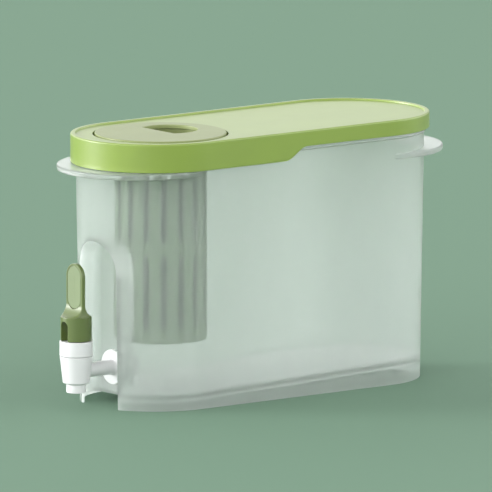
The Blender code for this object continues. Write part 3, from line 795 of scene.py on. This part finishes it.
@dataclass
class Tank:
    """The frosted tank: drafted obround walls, sloping floor, foot skirt, flanges and tap recess."""

    plan: Plan
    wall: float = 2 * MM
    inset_top: float = 3.6 * MM
    inset_foot: float = 6.6 * MM
    floor_z: float = 10.7 * MM
    floor_slope: float = 0.028
    floor_fillet: float = 3 * MM
    floor_level: float = 12 * MM
    wall_step: float = 30 * MM
    edge: float = 0.5 * MM
    bead_drop: float = 14 * MM
    bead_stand: float = 0.9 * MM
    bead_half: float = 1.3 * MM
    bead_crest_half: float = 0.8 * MM
    flange_r: float = 59 * MM
    flange_reach: float = 13 * MM
    flange_thick: float = 4.2 * MM
    flange_edge: float = 1.2 * MM
    front_flange_drop: float = 21.1 * MM
    rear_flange_drop: float = 25.4 * MM
    recess_half: float = 21.2 * MM
    recess_top: float = 121 * MM
    recess_depth: float = 25.5 * MM
    recess_corner: float = 5 * MM
    shank_z: float = 27.8 * MM
    hole_r: float = 6.3 * MM

    def __post_init__(self) -> None:
        """Reads the rim's height."""
        self.rim_z = corners("tank")[1].z

    def outer_r(self, z: float) -> float:
        """The round ends' outer radius: the wall leans out a little for the mould."""
        foot = self.plan.lid_r - self.inset_foot
        return foot + (self.inset_foot - self.inset_top) * z / self.rim_z

    def floor_under(self, y: float) -> float:
        """Height of the floor's underside."""
        return self.floor_z + self.floor_slope * (y - self.plan.middle_y)

    def floor_top(self, y: float) -> float:
        """Height of the floor's upper face."""
        return self.floor_under(y) + self.wall

    def outside(self) -> BMesh:
        """The outer body, solid, with its bead and rounded edges."""
        plan = self.plan
        edge = self.edge
        bead_z = plan.top - self.bead_drop
        skin = Skin()
        foot = plan.obround(self.outer_r(0.0))
        skin.round(foot.grown(-edge), edge, edge, -90, 90)
        heights = [self.wall_step * count for count in range(1, 6)]
        for z in (*heights, bead_z - self.bead_half):
            skin.ring(plan.obround(self.outer_r(z)), z)
        for step in range(7):
            angle = math.pi * step / 6
            z = bead_z - self.bead_crest_half * math.cos(angle)
            skin.ring(plan.obround(self.outer_r(z) + self.bead_stand * math.sin(angle)), z)
        skin.ring(plan.obround(self.outer_r(bead_z)), bead_z + self.bead_half)
        rim = plan.obround(self.outer_r(self.rim_z))
        skin.round(rim.grown(-edge), self.rim_z - edge, edge, 0, 90)
        return skin.ends().bm

    def inside(self) -> bpy.types.Object:
        """The cavity: a cutter that leaves the wall, the floor and the wall round the recess."""
        plan = self.plan
        fillet = self.floor_fillet
        skin = Skin()
        low = plan.obround(self.outer_r(self.floor_level) - self.wall - fillet)
        skin.round(low, lambda y: self.floor_top(y) + fillet, fillet, -90, 90, 6)
        skin.ring(plan.obround(self.outer_r(self.rim_z) - self.wall), self.rim_z + 5 * MM)
        cavity = solid("tank_cavity", skin.ends().bm)
        carve(cavity, Cut.TAKE, self.arch(self.wall))
        return cavity

    def arch(self, grow: float) -> BMesh:
        """The recess's arched block, with its back corners rounded.

        Args:
            grow: how far every face of the block is moved outwards.

        Returns:
            A closed block from in front of the tank to the recess's back wall.
        """
        plan = self.plan
        half = self.recess_half + grow
        low_z = -OVERRUN
        centre_z = self.recess_top - self.recess_half
        back_y = plan.front + self.recess_depth + grow
        corner = self.recess_corner + grow
        # In plan the outline's X is across the tank and its Y is the height, and it stands up last
        spread = (centre_z - low_z) / 2
        outline = Outline(half, 0.0, spread, (0.0, (centre_z + low_z) / 2), 64)
        skin = Skin()
        skin.ring(outline, -(plan.front - OVERRUN))
        skin.ring(outline, -(plan.front + 6 * MM))
        for step in range(7):
            angle = math.pi / 2 * step / 6
            depth = back_y - corner + corner * math.sin(angle)
            skin.ring(outline.grown(corner * (math.cos(angle) - 1)), -depth)
        return moved(skin.ends().bm, STAND_FACING_FRONT)

    def flange(self, top: float, centre_y: float) -> BMesh:
        """A carrying flange as a whole disc with a rounded rim."""
        low = top - self.flange_thick
        r = self.flange_r
        bm = turned(((0, top), (r, top), (r, low), (0, low)), 192, self.flange_edge, 4)
        return moved(bm, shift(y=centre_y))

    def foot(self) -> BMesh:
        """The hollow under the floor."""
        plan = self.plan
        fillet = 1.5 * MM
        r = self.outer_r(0.0) - self.wall
        skin = Skin()
        skin.ring(plan.obround(r + 0.6 * MM), -2 * MM)
        skin.ring(plan.obround(r + 0.1 * MM), 0.0)
        skin.round(plan.obround(r - fillet), lambda y: self.floor_under(y) - fillet, fillet, 0, 90, 3)
        return skin.ends().bm

    def build(self, finishes: Finishes) -> None:
        """Makes the tank as one shell."""
        plan = self.plan
        tank = solid("tank_shell", self.outside())
        flange_y = plan.arc_y + plan.lid_r + self.flange_reach - self.flange_r
        front = self.flange(plan.top - self.front_flange_drop, plan.middle_y - flange_y)
        rear = self.flange(plan.top - self.rear_flange_drop, plan.middle_y + flange_y)
        carve(tank, Cut.JOIN, front, rear)
        hole = rod(self.hole_r, -OVERRUN, OVERRUN)
        wall_y = plan.front + self.recess_depth
        moved(hole, LAY_ALONG_Y, shift(y=wall_y, z=self.shank_z))
        carve(tank, Cut.TAKE, self.arch(0.0), self.inside(), self.foot(), hole)
        dress(tank, finishes.tank, Body.DISPENSER, "frosted_pp", "tank")


@dataclass
class Lid:
    """The lid: sunk deck, raised rim, swept skirt, plug wall, and the port's well and ledge."""

    plan: Plan
    wall: float = 2 * MM
    rim_width: float = 3.8 * MM
    rim_rise: float = 1.3 * MM
    rim_edge: float = 1.2 * MM
    rim_inner_edge: float = 0.7 * MM
    rim_fillet: float = 0.35 * MM
    deck_thick: float = 2 * MM
    skirt_front: float = 20.8 * MM
    skirt_rear: float = 11.5 * MM
    sweep_y: float = -5 * MM
    sweep_run: float = 20 * MM
    plug_r: float = 52.8 * MM
    plug_wall: float = 1.5 * MM
    plug_depth: float = 9 * MM
    port_r: float = 48.9 * MM
    port_wall: float = 1.2 * MM
    port_depth: float = 10.4 * MM
    ledge_width: float = 4.4 * MM
    ledge_thick: float = 1.8 * MM
    edge: float = 0.4 * MM

    def skirt_low(self, y: float) -> float:
        """Height of the skirt's lower edge, which sweeps up behind the middle of the lid."""
        share = (y - self.plan.middle_y - self.sweep_y) / self.sweep_run + 0.5
        share = min(max(share, 0.0), 1.0)
        rise = (1 - math.cos(math.pi * share)) / 2
        return self.plan.top - self.skirt_front + (self.skirt_front - self.skirt_rear) * rise

    def side(self, radius: float) -> Outline:
        """An obround with enough points along its sides for the sweep."""
        return self.plan.obround(radius, side_cuts=96)

    def port(self, radius: float) -> Outline:
        """A circle about the port's axis."""
        return Outline(radius, centre=self.plan.port, segments=128)

    def build(self, finishes: Finishes) -> None:
        """Makes the lid as one shell, from the port round the underside and back over the rim."""
        plan = self.plan
        r = plan.lid_r
        edge, rim = self.edge, self.rim_edge
        deck = plan.top - self.rim_rise
        under = deck - self.deck_thick
        ledge = plan.top - self.port_depth
        skin = Skin()
        skin.ring(self.port(self.port_r + edge + 1 * MM), deck)
        skin.round(self.port(self.port_r + edge), deck - edge, edge, 90, 90)
        skin.ring(self.port(self.port_r), ledge)
        skin.ring(self.port(self.port_r - self.ledge_width), ledge)
        skin.ring(self.port(self.port_r - self.ledge_width), ledge - self.ledge_thick)
        skin.ring(self.port(self.port_r + self.port_wall), ledge - self.ledge_thick)
        skin.ring(self.port(self.port_r + self.port_wall), under)
        plug_low = under - self.plug_depth
        skin.flat(self.side(self.plug_r - self.plug_wall), under)
        skin.ring(self.side(self.plug_r - self.plug_wall), plug_low)
        skin.ring(self.side(self.plug_r), plug_low)
        skin.ring(self.side(self.plug_r), under)
        skin.ring(self.side(r - self.wall), under)
        skin.round(self.side(r - self.wall + edge), lambda y: self.skirt_low(y) + edge, edge, 180, 90, 3)
        skin.round(self.side(r - edge), lambda y: self.skirt_low(y) + edge, edge, 270, 90, 3)
        skin.round(self.side(r - rim), plan.top - rim, rim, 0, 90, 6)
        inner = r - self.rim_width
        lip, fillet = self.rim_inner_edge, self.rim_fillet
        skin.round(self.side(inner + lip), plan.top - lip, lip, 90, 90, 4)
        for step in range(5):
            angle = math.radians(90 * step / 4)
            skin.ring(
                self.side(inner - fillet * (1 - math.cos(angle))), deck + fillet * (1 - math.sin(angle))
            )
        skin.ring(self.side(inner - fillet - 1.2 * MM), deck)
        skin.fill(skin.rings[0])
        dress(solid("lid_shell", skin.bm), finishes.lid, Body.LID, "lid_green", "lid")
        redress("lid_gasket", finishes.silicone)


@dataclass
class FillerCap:
    """The round cap: a top disc with a finger scoop's mouth, and a core with the scoop's bowl."""

    plan: Plan
    edge: float = 0.8 * MM
    mouth_edge: float = 0.6 * MM
    core_inset: float = 1.1 * MM
    scoop_r: float = 21 * MM
    scoop_side: float = 3.5 * MM
    scoop_reach: float = 14.9 * MM
    scoop_bearing: float = 119.7
    scoop_lip: float = 1.6 * MM
    scoop_depth: float = 11.5 * MM
    bowl_wall: float = 1.2 * MM
    bowl_fillet: float = 3 * MM

    def __post_init__(self) -> None:
        """Reads both discs."""
        low, high = corners("cap_top")
        self.top, self.low, self.r = high.z, low.z, (high.x - low.x) / 2
        low, high = corners("cap_core")
        self.core_top = high.z
        self.core_r = self.r - self.core_inset
        self.core_low = corners("cap_gasket")[1].z + self.plan.gap

    def scoop(self, grow: float = 0.0) -> Dee:
        """The scoop's mouth, moved outwards by grow."""
        bearing = math.radians(self.scoop_bearing)
        x, y = self.plan.port
        centre = (x + self.scoop_reach * math.cos(bearing), y + self.scoop_reach * math.sin(bearing))
        return Dee(self.scoop_r, centre, y + self.scoop_side).grown(grow)

    def disc(self, radius: float) -> Outline:
        """A circle about the port's axis."""
        return Outline(radius, centre=self.plan.port, segments=160)

    def build(self, finishes: Finishes) -> None:
        """Makes both mouldings."""
        edge, lip = self.edge, self.mouth_edge
        skin = Skin()
        skin.ring(self.disc(self.r), self.low)
        skin.round(self.disc(self.r - edge), self.top - edge, edge, 0, 90, 5)
        skin.ring(self.disc(self.r - edge - 0.8 * MM), self.top)
        skin.flat(self.scoop(lip + 0.7 * MM), self.top)
        skin.ring(self.scoop(lip), self.top)
        for step in range(1, 5):
            angle = math.radians(90 * step / 4)
            skin.ring(self.scoop(lip * (1 - math.sin(angle))), self.top - lip * (1 - math.cos(angle)))
        skin.ring(self.scoop(), self.low)
        skin.fill(skin.rings[0])
        cap = solid("cap_disc", skin.bm)
        dress(cap, finishes.cap, Body.CAP, "cap_sage", "cap_top")

        grow, wall, fillet = self.scoop_lip, self.bowl_wall, self.bowl_fillet
        floor = self.top - self.scoop_depth
        bowl = Skin()
        bowl.ring(self.scoop(grow + wall - fillet), floor - wall)
        for step in range(1, 6):
            angle = math.radians(90 * step / 5)
            bowl.ring(
                self.scoop(grow + wall - fillet * (1 - math.sin(angle))),
                floor - wall + fillet * (1 - math.cos(angle)),
            )
        bowl.ring(self.scoop(grow + wall), self.core_low)
        bowl.flat(self.disc(self.core_r), self.core_low)
        bowl.ring(self.disc(self.core_r), self.core_top)
        bowl.flat(self.scoop(grow), self.core_top)
        for step in range(6):
            angle = math.radians(90 * step / 5)
            bowl.ring(
                self.scoop(grow - fillet * (1 - math.cos(angle))),
                floor + fillet * (1 - math.sin(angle)),
            )
        bowl.ends()
        core = solid("cap_bowl", bowl.bm)
        dress(core, finishes.cap, Body.CAP, "cap_sage", "cap_core")
        redress("cap_gasket", finishes.silicone)


@dataclass
class Infuser:
    """The slotted basket that hangs in the port."""

    plan: Plan
    r: float = 33 * MM
    wall: float = 1.6 * MM
    throat_r: float = 43.5 * MM
    flange_thick: float = 1.6 * MM
    flare_top: float = 6.5 * MM
    flare_end: float = 12.5 * MM
    slots_round: int = 16
    slot_width: float = 4.5 * MM
    slot_top: float = 18 * MM
    band_top: float = 72.5 * MM
    band_tall: float = 9 * MM
    slot_foot: float = 10 * MM

    def slots(self, low: float, high: float) -> BMesh:
        """One row of round-ended slots, as cutters set round the basket."""
        bm = bmesh.new()
        half = self.slot_width / 2
        for index in range(self.slots_round):
            skin = Skin()
            outline = Outline(half, 0.0, (high - low) / 2 - half, (0.0, (low + high) / 2), 24)
            skin.ring(outline, self.r - 5 * MM).ring(outline, self.r + 5 * MM).ends()
            turn = Matrix.Rotation(math.tau * (index + 0.5) / self.slots_round, 4, "Z")
            moved(skin.bm, STAND_FACING_FRONT, Matrix.Rotation(math.pi / 2, 4, "Z"), turn)
            mesh = bpy.data.meshes.new("slot")
            skin.bm.to_mesh(mesh)
            skin.bm.free()
            bm.from_mesh(mesh)
            bpy.data.meshes.remove(mesh)
        return moved(bm, shift(*self.plan.port))

    def build(self, finishes: Finishes) -> None:
        """Turns the basket and cuts both rows of slots."""
        low, high = corners("infuser_basket")
        top, base = high.z, low.z
        flange_r = (high.x - low.x) / 2
        wall = self.wall
        profile = (
            (0, base),
            (self.r, base),
            (self.r, top - self.flare_end),
            (self.throat_r, top - self.flare_top),
            (self.throat_r, top - self.flange_thick),
            (flange_r, top - self.flange_thick),
            (flange_r, top),
            (self.throat_r - wall, top),
            (self.throat_r - wall, top - self.flare_top),
            (self.r - wall, top - self.flare_end),
            (self.r - wall, base + wall),
            (0, base + wall),
        )
        basket = turned(profile, 160, 0.5 * MM, 2)
        infuser = solid("infuser", moved(basket, shift(*self.plan.port)))
        band = top - self.band_top
        upper = self.slots(band + self.band_tall / 2, top - self.slot_top)
        lower = self.slots(base + self.slot_foot, band - self.band_tall / 2)
        carve(infuser, Cut.TAKE, upper, lower)
        dress(infuser, finishes.basket, Body.INFUSER, "basket_sage", "infuser_basket")


@dataclass
class Tap:
    """The white tap: cup, spout and shank in one moulding, and the bonnet that caps it."""

    plan: Plan
    r: float = 12 * MM
    nozzle_r: float = 7.2 * MM
    nozzle_bore: float = 4.5 * MM
    nozzle_tall: float = 6.4 * MM
    taper_r: float = 9.7 * MM
    shoulder_z: float = 39.1 * MM
    neck_r: float = 10.2 * MM
    chamber_r: float = 8 * MM
    seat_z: float = 23.8 * MM
    shank_z: float = 27.8 * MM
    shank_r: float = 5.3 * MM
    shank_bore: float = 3.6 * MM
    shank_flange_r: float = 12.6 * MM
    shank_flange_thick: float = 2 * MM
    thread_r: float = 6 * MM
    thread_depth: float = 0.35 * MM
    thread_pitch: float = 1.5 * MM
    bonnet_plate: float = 1.9 * MM
    bonnet_bore: float = 2.8 * MM
    edge: float = 0.5 * MM

    def cup(self) -> BMesh:
        """The cup and spout, turned."""
        low, _ = corners("tap_body")
        seal = corners("bonnet_seal")[0].z
        neck_top = seal - self.plan.gap
        foot = low.z
        joint = foot + self.nozzle_tall
        profile = (
            (self.neck_r, neck_top),
            (self.neck_r, self.shoulder_z),
            (self.r - 0.1 * MM, self.shoulder_z),
            (self.taper_r, joint + 0.8 * MM),
            (self.nozzle_r, joint),
            (self.nozzle_r, foot),
            (self.nozzle_bore, foot),
            (self.nozzle_bore, self.seat_z),
            (self.chamber_r, self.seat_z),
            (self.chamber_r, neck_top),
        )
        return turned(profile, 96, self.edge, 3)

    def shank(self) -> BMesh:
        """The horizontal shank with its flange and its thread, along +Y from the tap's axis."""
        flange = corners("outer_washer")[0].y - self.plan.gap - self.plan.tap_y
        end = corners("tap_body")[1].y - self.plan.tap_y
        start = self.chamber_r + 1 * MM
        profile = [(0, end), (self.thread_r - self.thread_depth, end)]
        turns = int((end - flange - 4 * MM) / self.thread_pitch)
        for turn in range(turns):
            crest = end - 0.8 * MM - turn * self.thread_pitch
            profile.append((self.thread_r, crest - 0.3 * MM))
            profile.append((self.thread_r, crest - 0.6 * MM))
            profile.append((self.thread_r - self.thread_depth, crest - 1.0 * MM))
        profile += [
            (self.thread_r, flange),
            (self.shank_flange_r, flange),
            (self.shank_flange_r, flange - self.shank_flange_thick),
            (self.shank_r + 0.8 * MM, flange - self.shank_flange_thick),
            (self.shank_r, flange - self.shank_flange_thick - 1.2 * MM),
            (self.shank_r, start),
            (0, start),
        ]
        return moved(turned(profile, 64, 0.25 * MM, 2), LAY_ALONG_Y, shift(z=self.shank_z))

    def build(self, finishes: Finishes) -> None:
        """Makes the tap's body and its bonnet."""
        place = shift(y=self.plan.tap_y)
        body = solid("tap_cup", moved(self.cup(), place))
        carve(body, Cut.JOIN, moved(self.shank(), place))
        end = corners("tap_body")[1].y - self.plan.tap_y + OVERRUN
        bore = rod(self.shank_bore, 0, end, 40)
        carve(body, Cut.TAKE, moved(bore, LAY_ALONG_Y, shift(z=self.shank_z), place))
        dress(body, finishes.tap, Body.DISPENSER, "tap_white", "tap_body")

        low, high = corners("tap_bonnet")
        plate = high.z - self.bonnet_plate
        inner = self.neck_r + self.plan.gap
        profile = (
            (self.r, high.z),
            (self.r, low.z),
            (inner, low.z),
            (inner, plate),
            (self.bonnet_bore, plate),
            (self.bonnet_bore, high.z),
        )
        bonnet = solid("bonnet_ring", moved(turned(profile, 96, self.edge, 4), place))
        dress(bonnet, finishes.tap, Body.DISPENSER, "tap_white", "tap_bonnet")
        for node in ("bonnet_seal", "stem_o_ring", "valve_cup"):
            redress(node, finishes.silicone)
        redress("valve_plunger", finishes.tap)
        redress("valve_spring", finishes.wire)


@dataclass
class ShankFittings:
    """The washers on both sides of the tank's wall and the nut that pulls them tight."""

    plan: Plan
    shank_z: float = 27.8 * MM
    bore: float = 6.3 * MM
    nut_across: float = 20 * MM
    nut_flange_thick: float = 1.5 * MM

    def washer(self, name: str, node: str, finishes: Finishes) -> None:
        """A washer with rounded edges in place of a CAD one."""
        low, high = corners(node)
        r, thick = (high.x - low.x) / 2, high.y - low.y
        bm = turned(((r, thick), (r, 0), (self.bore, 0), (self.bore, thick)), 72, 0.4 * MM, 3)
        moved(bm, LAY_ALONG_Y, shift(y=low.y, z=self.shank_z))
        dress(solid(name, bm), finishes.silicone, Body.DISPENSER, "silicone", node)

    def build(self, finishes: Finishes) -> None:
        """Makes both washers and the nut."""
        self.washer("wall_washer", "outer_washer", finishes)
        self.washer("tank_washer", "inner_washer", finishes)
        low, high = corners("lock_nut")
        thick = high.y - low.y
        flange_r = (high.x - low.x) / 2
        corner_r = self.nut_across / 2 / math.cos(math.pi / 6)
        hexagon = bmesh.new()
        bmesh.ops.create_cone(
            hexagon, cap_ends=True, segments=6, radius1=corner_r, radius2=corner_r, depth=thick
        )
        moved(hexagon, shift(z=thick / 2))
        soften(hexagon, 0.6 * MM, 3)
        place = (LAY_ALONG_Y, shift(y=low.y, z=self.shank_z))
        nut = solid("shank_nut", moved(hexagon, *place))
        flange = turned(
            ((0, self.nut_flange_thick), (flange_r, self.nut_flange_thick), (flange_r, 0), (0, 0)),
            72,
            0.4 * MM,
        )
        bore = rod(self.bore, -OVERRUN, thick + OVERRUN)
        carve(nut, Cut.JOIN, moved(flange, *place))
        carve(nut, Cut.TAKE, moved(bore, *place))
        dress(nut, finishes.tap, Body.DISPENSER, "tap_white", "lock_nut")


@dataclass
class Lever:
    """The lever: round slotted collar, hollow shoulder, round-tipped paddle and its thumb pad."""

    plan: Plan
    collar_tall: float = 17.7 * MM
    collar_edge: float = 0.6 * MM
    paddle_half: float = 9.6 * MM
    paddle_thick: float = 3.2 * MM
    paddle_shift: float = -0.3 * MM
    paddle_corner: float = 0.8 * MM
    shoulder_tall: float = 8.5 * MM
    slot: float = 7.6 * MM
    slot_tall: float = 14.6 * MM
    slot_back: float = 7 * MM
    pin_r: float = 1.6 * MM
    pin_reach: float = 9.1 * MM
    pad_half: float = 7.6 * MM
    pad_thick: float = 0.6 * MM
    pips: int = 9
    pip_pitch: float = 1.9 * MM
    pip_r: float = 0.4 * MM
    pip_flat: float = 0.45

    def __post_init__(self) -> None:
        """Reads the lever, its pin and its pad."""
        low, high = corners("tap_lever")
        self.low, self.tip = low.z, high.z
        self.r = (high.x - low.x) / 2
        low, high = corners("lever_pin")
        self.pin_z = (low.z + high.z) / 2
        low, high = corners("lever_thumb_pad")
        self.pad_low, self.pad_high, self.pad_face = low.z, high.z, low.y

    def section(self, half_x: float, half_y: float, corner: float, y: float) -> Outline:
        """A rounded rectangle across the lever."""
        spread = (half_x - corner, half_y - corner)
        return Outline(corner, *spread, (0.0, self.plan.tap_y + y), 64)

    def blank(self) -> BMesh:
        """The lever before its slot, pin hole and pocket are cut."""
        r = self.r
        edge = self.collar_edge
        half_thick = self.paddle_thick / 2
        top = self.low + self.collar_tall
        collar = self.section(r, r, r * 0.999, 0.0)
        skin = Skin()
        skin.round(collar.grown(-edge), self.low + edge, edge, -90, 90, 3)
        skin.round(collar.grown(-edge), top - edge, edge, 0, 60, 3)
        steps = 16
        for step in range(steps + 1):
            angle = math.pi / 2 * step / steps
            share = 1 - math.sin(angle)
            half_x = self.paddle_half + (r - edge - self.paddle_half) * share
            half_y = half_thick + (r - edge - half_thick) * share
            corner = self.paddle_corner + (min(half_x, half_y) * 0.999 - self.paddle_corner) * share
            z = top + self.shoulder_tall * (1 - math.cos(angle))
            skin.ring(self.section(half_x, half_y, corner, self.paddle_shift * (1 - share)), z)
        tip_steps = 16
        for step in range(tip_steps):
            angle = math.pi / 2 * step / tip_steps
            half_x = max(self.paddle_half * math.cos(angle), self.paddle_corner * 1.05)
            z = self.tip - self.paddle_half + self.paddle_half * math.sin(angle)
            skin.ring(self.section(half_x, half_thick, self.paddle_corner, self.paddle_shift), z)
        return skin.ends().bm

    def upright(self, half: float, low: float, high: float) -> Outline:
        """A stadium outline that stands up, across the lever."""
        spread = (high - low) / 2 - half
        return Outline(half, 0.0, spread, (0.0, (low + high) / 2), 48)

    def block(self, outline: Outline, front: float, back: float) -> BMesh:
        """An upright outline run back from front to back, both along Y."""
        skin = Skin().ring(outline, -front).ring(outline, -back).ends()
        return moved(skin.bm, STAND_FACING_FRONT)

    def build(self, finishes: Finishes) -> None:
        """Makes the lever, its pad and its row of pips."""
        gap = self.plan.gap
        y = self.plan.tap_y
        lever = solid("lever_handle", self.blank())
        slot = self.upright(self.slot / 2, self.low - OVERRUN, self.low + self.slot_tall)
        pocket = self.upright(self.pad_half + gap, self.pad_low - gap, self.pad_high + gap)
        pocket_back = self.pad_face + self.pad_thick + gap
        clear = y - self.r - OVERRUN
        hole = rod(self.pin_r, -self.r - OVERRUN, self.pin_reach)
        moved(hole, LAY_ALONG_X, shift(y=y, z=self.pin_z))
        carve(
            lever,
            Cut.TAKE,
            self.block(slot, clear, y + self.slot_back),
            self.block(pocket, clear, pocket_back),
            hole,
        )
        dress(lever, finishes.lever, Body.LEVER, "lever_green", "tap_lever")

        pad_outline = self.upright(self.pad_half, self.pad_low, self.pad_high)
        edge = 0.25 * MM
        face, back = -self.pad_face, -(self.pad_face + self.pad_thick)
        skin = Skin().ring(pad_outline, back)
        skin.round(pad_outline.grown(-edge), face - edge, edge, 0, 90, 3)
        skin.ends()
        middle = (self.pad_low + self.pad_high) / 2
        for index in range(self.pips):
            up = middle + (index - (self.pips - 1) / 2) * self.pip_pitch
            dome = Matrix.Diagonal((1, 1, self.pip_flat, 1))
            bmesh.ops.create_icosphere(
                skin.bm, subdivisions=2, radius=self.pip_r, matrix=shift(0, up, face) @ dome
            )
        pad = solid("thumb_pad", moved(skin.bm, STAND_FACING_FRONT))
        # the pad's finish is the lever's green lightened, painted light from the key lamp
        dress(pad, finishes.pad, Body.LEVER, "lever_green", "lever_thumb_pad")
        redress("lever_pin", finishes.wire)


# ---------------------------------------------------------------------------------------------
# The studio
# ---------------------------------------------------------------------------------------------


@dataclass
class Studio:
    """A plain sage sweep, pale walls that darken behind the object, soft lamps and the camera.

    Attributes:
        walls: light of the walls round the object.
        ceiling: light from above them.
        walls_end: sine of the height at which the walls start to turn into the ceiling.
        ceiling_start: the same, where only the ceiling is left.
        back_wall: light of the wall facing the camera, as a share of the other walls'.
        back_reach: cosines, off the camera's line, between which a wall darkens to that.
        floor_colour: the sweep's colour, linear.
        lamps: each lamp's name, bearing, height, spread and strength, as sun() takes them.
        azimuth: degrees from -Y towards +X, where the camera stands.
        elevation: degrees that it looks down.
        aim: the point that it looks at.
        frame_width: width of the view at that point.
        lens: focal length, in millimetres.
        sensor: width of the film gate, in millimetres.
    """

    walls: Colour = (1.98, 2.0, 2.0)
    ceiling: Colour = (0.6, 0.6, 0.62)
    walls_end: float = 0.45
    ceiling_start: float = 0.8
    back_wall: float = 0.4
    back_reach: tuple[float, float] = (0.45, 0.85)
    floor_colour: Colour = (0.155, 0.25, 0.178)
    lamps: tuple[tuple[str, float, float, float, float], ...] = (
        ("key", -40.0, 12.0, 24.0, 3.0),
        ("side", -98.0, 9.0, 70.0, 0.7),
        ("front", 16.0, 14.0, 60.0, 1.2),
        ("rim", 158.0, 14.0, 50.0, 0.9),
    )
    azimuth: float = 52.2
    elevation: float = 8.97
    aim: Colour = (-0.4 * MM, 0.95 * MM, 103.9 * MM)
    frame_width: float = 355.7 * MM
    lens: float = 1400.0
    sensor: float = 36.0

    def camera(self) -> None:
        """A long lens, far enough back to frame the object."""
        azimuth, elevation = math.radians(self.azimuth), math.radians(self.elevation)
        back = Vector(
            (
                math.sin(azimuth) * math.cos(elevation),
                -math.cos(azimuth) * math.cos(elevation),
                math.sin(elevation),
            )
        )
        data = bpy.data.cameras.new("studio_camera")
        data.lens = self.lens
        data.sensor_width = self.sensor
        data.clip_end = 100.0
        camera = bpy.data.objects.new("studio_camera", data)
        camera.location = Vector(self.aim) + back * (self.frame_width * self.lens / self.sensor)
        camera.rotation_euler = back.to_track_quat("Z", "Y").to_euler()
        bpy.context.scene.collection.objects.link(camera)
        bpy.context.scene.camera = camera

    def sun(self, name: str, bearing: float, height: float, spread: float, strength: float) -> None:
        """A distant soft light.

        Args:
            name: its name.
            bearing: degrees from -Y towards +X, where the light stands.
            height: degrees over the ground.
            spread: width of its disc, in degrees.
            strength: its irradiance.
        """
        data = bpy.data.lights.new(name, "SUN")
        data.energy = strength
        data.angle = math.radians(spread)
        light = bpy.data.objects.new(name, data)
        turn, rise = math.radians(bearing), math.radians(height)
        level = math.cos(rise)
        towards = Vector((math.sin(turn) * level, -math.cos(turn) * level, math.sin(rise)))
        light.rotation_euler = towards.to_track_quat("Z", "Y").to_euler()
        bpy.context.scene.collection.objects.link(light)

    def floor(self) -> None:
        """The sweep that the object stands on."""
        bm = bmesh.new()
        bmesh.ops.create_grid(bm, x_segments=4, y_segments=4, size=60.0, matrix=shift(z=-0.1 * MM))
        floor = solid("studio_floor", bm)
        book = NodeBook("studio_paper")
        inputs = {"Base Color": (*self.floor_colour, 1), "Roughness": 0.9, "Specular IOR Level": 0.1}
        floor.data.materials.append(book.finish(book.node("ShaderNodeBsdfPrincipled", None, inputs)))

    def air(self) -> bpy.types.World:
        """The light from all round: walls below, ceiling above, darker in line with the camera."""
        world = bpy.data.worlds.new("studio_air")
        world.use_nodes = True
        nodes, links = world.node_tree.nodes, world.node_tree.links
        place = nodes.new("ShaderNodeTexCoord").outputs["Generated"]
        split = nodes.new("ShaderNodeSeparateXYZ")
        ramp = nodes.new("ShaderNodeValToRGB")
        stops = ramp.color_ramp.elements
        stops[0].position, stops[0].color = self.walls_end, (*self.walls, 1)
        stops[1].position, stops[1].color = self.ceiling_start, (*self.ceiling, 1)
        links.new(place, split.inputs[0])
        links.new(split.outputs["Z"], ramp.inputs[0])
        behind = nodes.new("ShaderNodeVectorMath")
        behind.operation = "DOT_PRODUCT"
        turn = math.radians(self.azimuth)
        behind.inputs[1].default_value = (-math.sin(turn), math.cos(turn), 0.0)
        shade = nodes.new("ShaderNodeValToRGB")
        ends = shade.color_ramp.elements
        ends[0].position, ends[0].color = self.back_reach[0], (1, 1, 1, 1)
        ends[1].position, ends[1].color = self.back_reach[1], (*(self.back_wall,) * 3, 1)
        tint = nodes.new("ShaderNodeMix")
        tint.data_type, tint.blend_type = "RGBA", "MULTIPLY"
        tint.inputs[0].default_value = 1.0
        links.new(place, behind.inputs[0])
        links.new(behind.outputs["Value"], shade.inputs[0])
        links.new(ramp.outputs[0], tint.inputs[6])
        links.new(shade.outputs[0], tint.inputs[7])
        links.new(tint.outputs[2], nodes["Background"].inputs["Color"])
        return world

    def build(self) -> None:
        """Sets up the whole studio."""
        scene = bpy.context.scene
        scene.world = self.air()
        scene.view_settings.view_transform = "Standard"
        self.floor()
        for lamp in self.lamps:
            self.sun(*lamp)
        self.camera()
        LOG.info("studio: camera at azimuth %.1f, elevation %.1f", self.azimuth, self.elevation)


FRAME: dict[str, Any] = {}


def main() -> None:
    """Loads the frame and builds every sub-assembly in order."""
    logging.basicConfig(level=logging.INFO, format="%(name)s: %(message)s")
    FRAME.update(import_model())
    plan = Plan()
    finishes = Finishes(plan.port)
    Studio().build()
    for assembly in (Tank, Lid, FillerCap, Infuser, Tap, ShankFittings, Lever):
        assembly(plan).build(finishes)


if __name__ == "__main__":
    main()
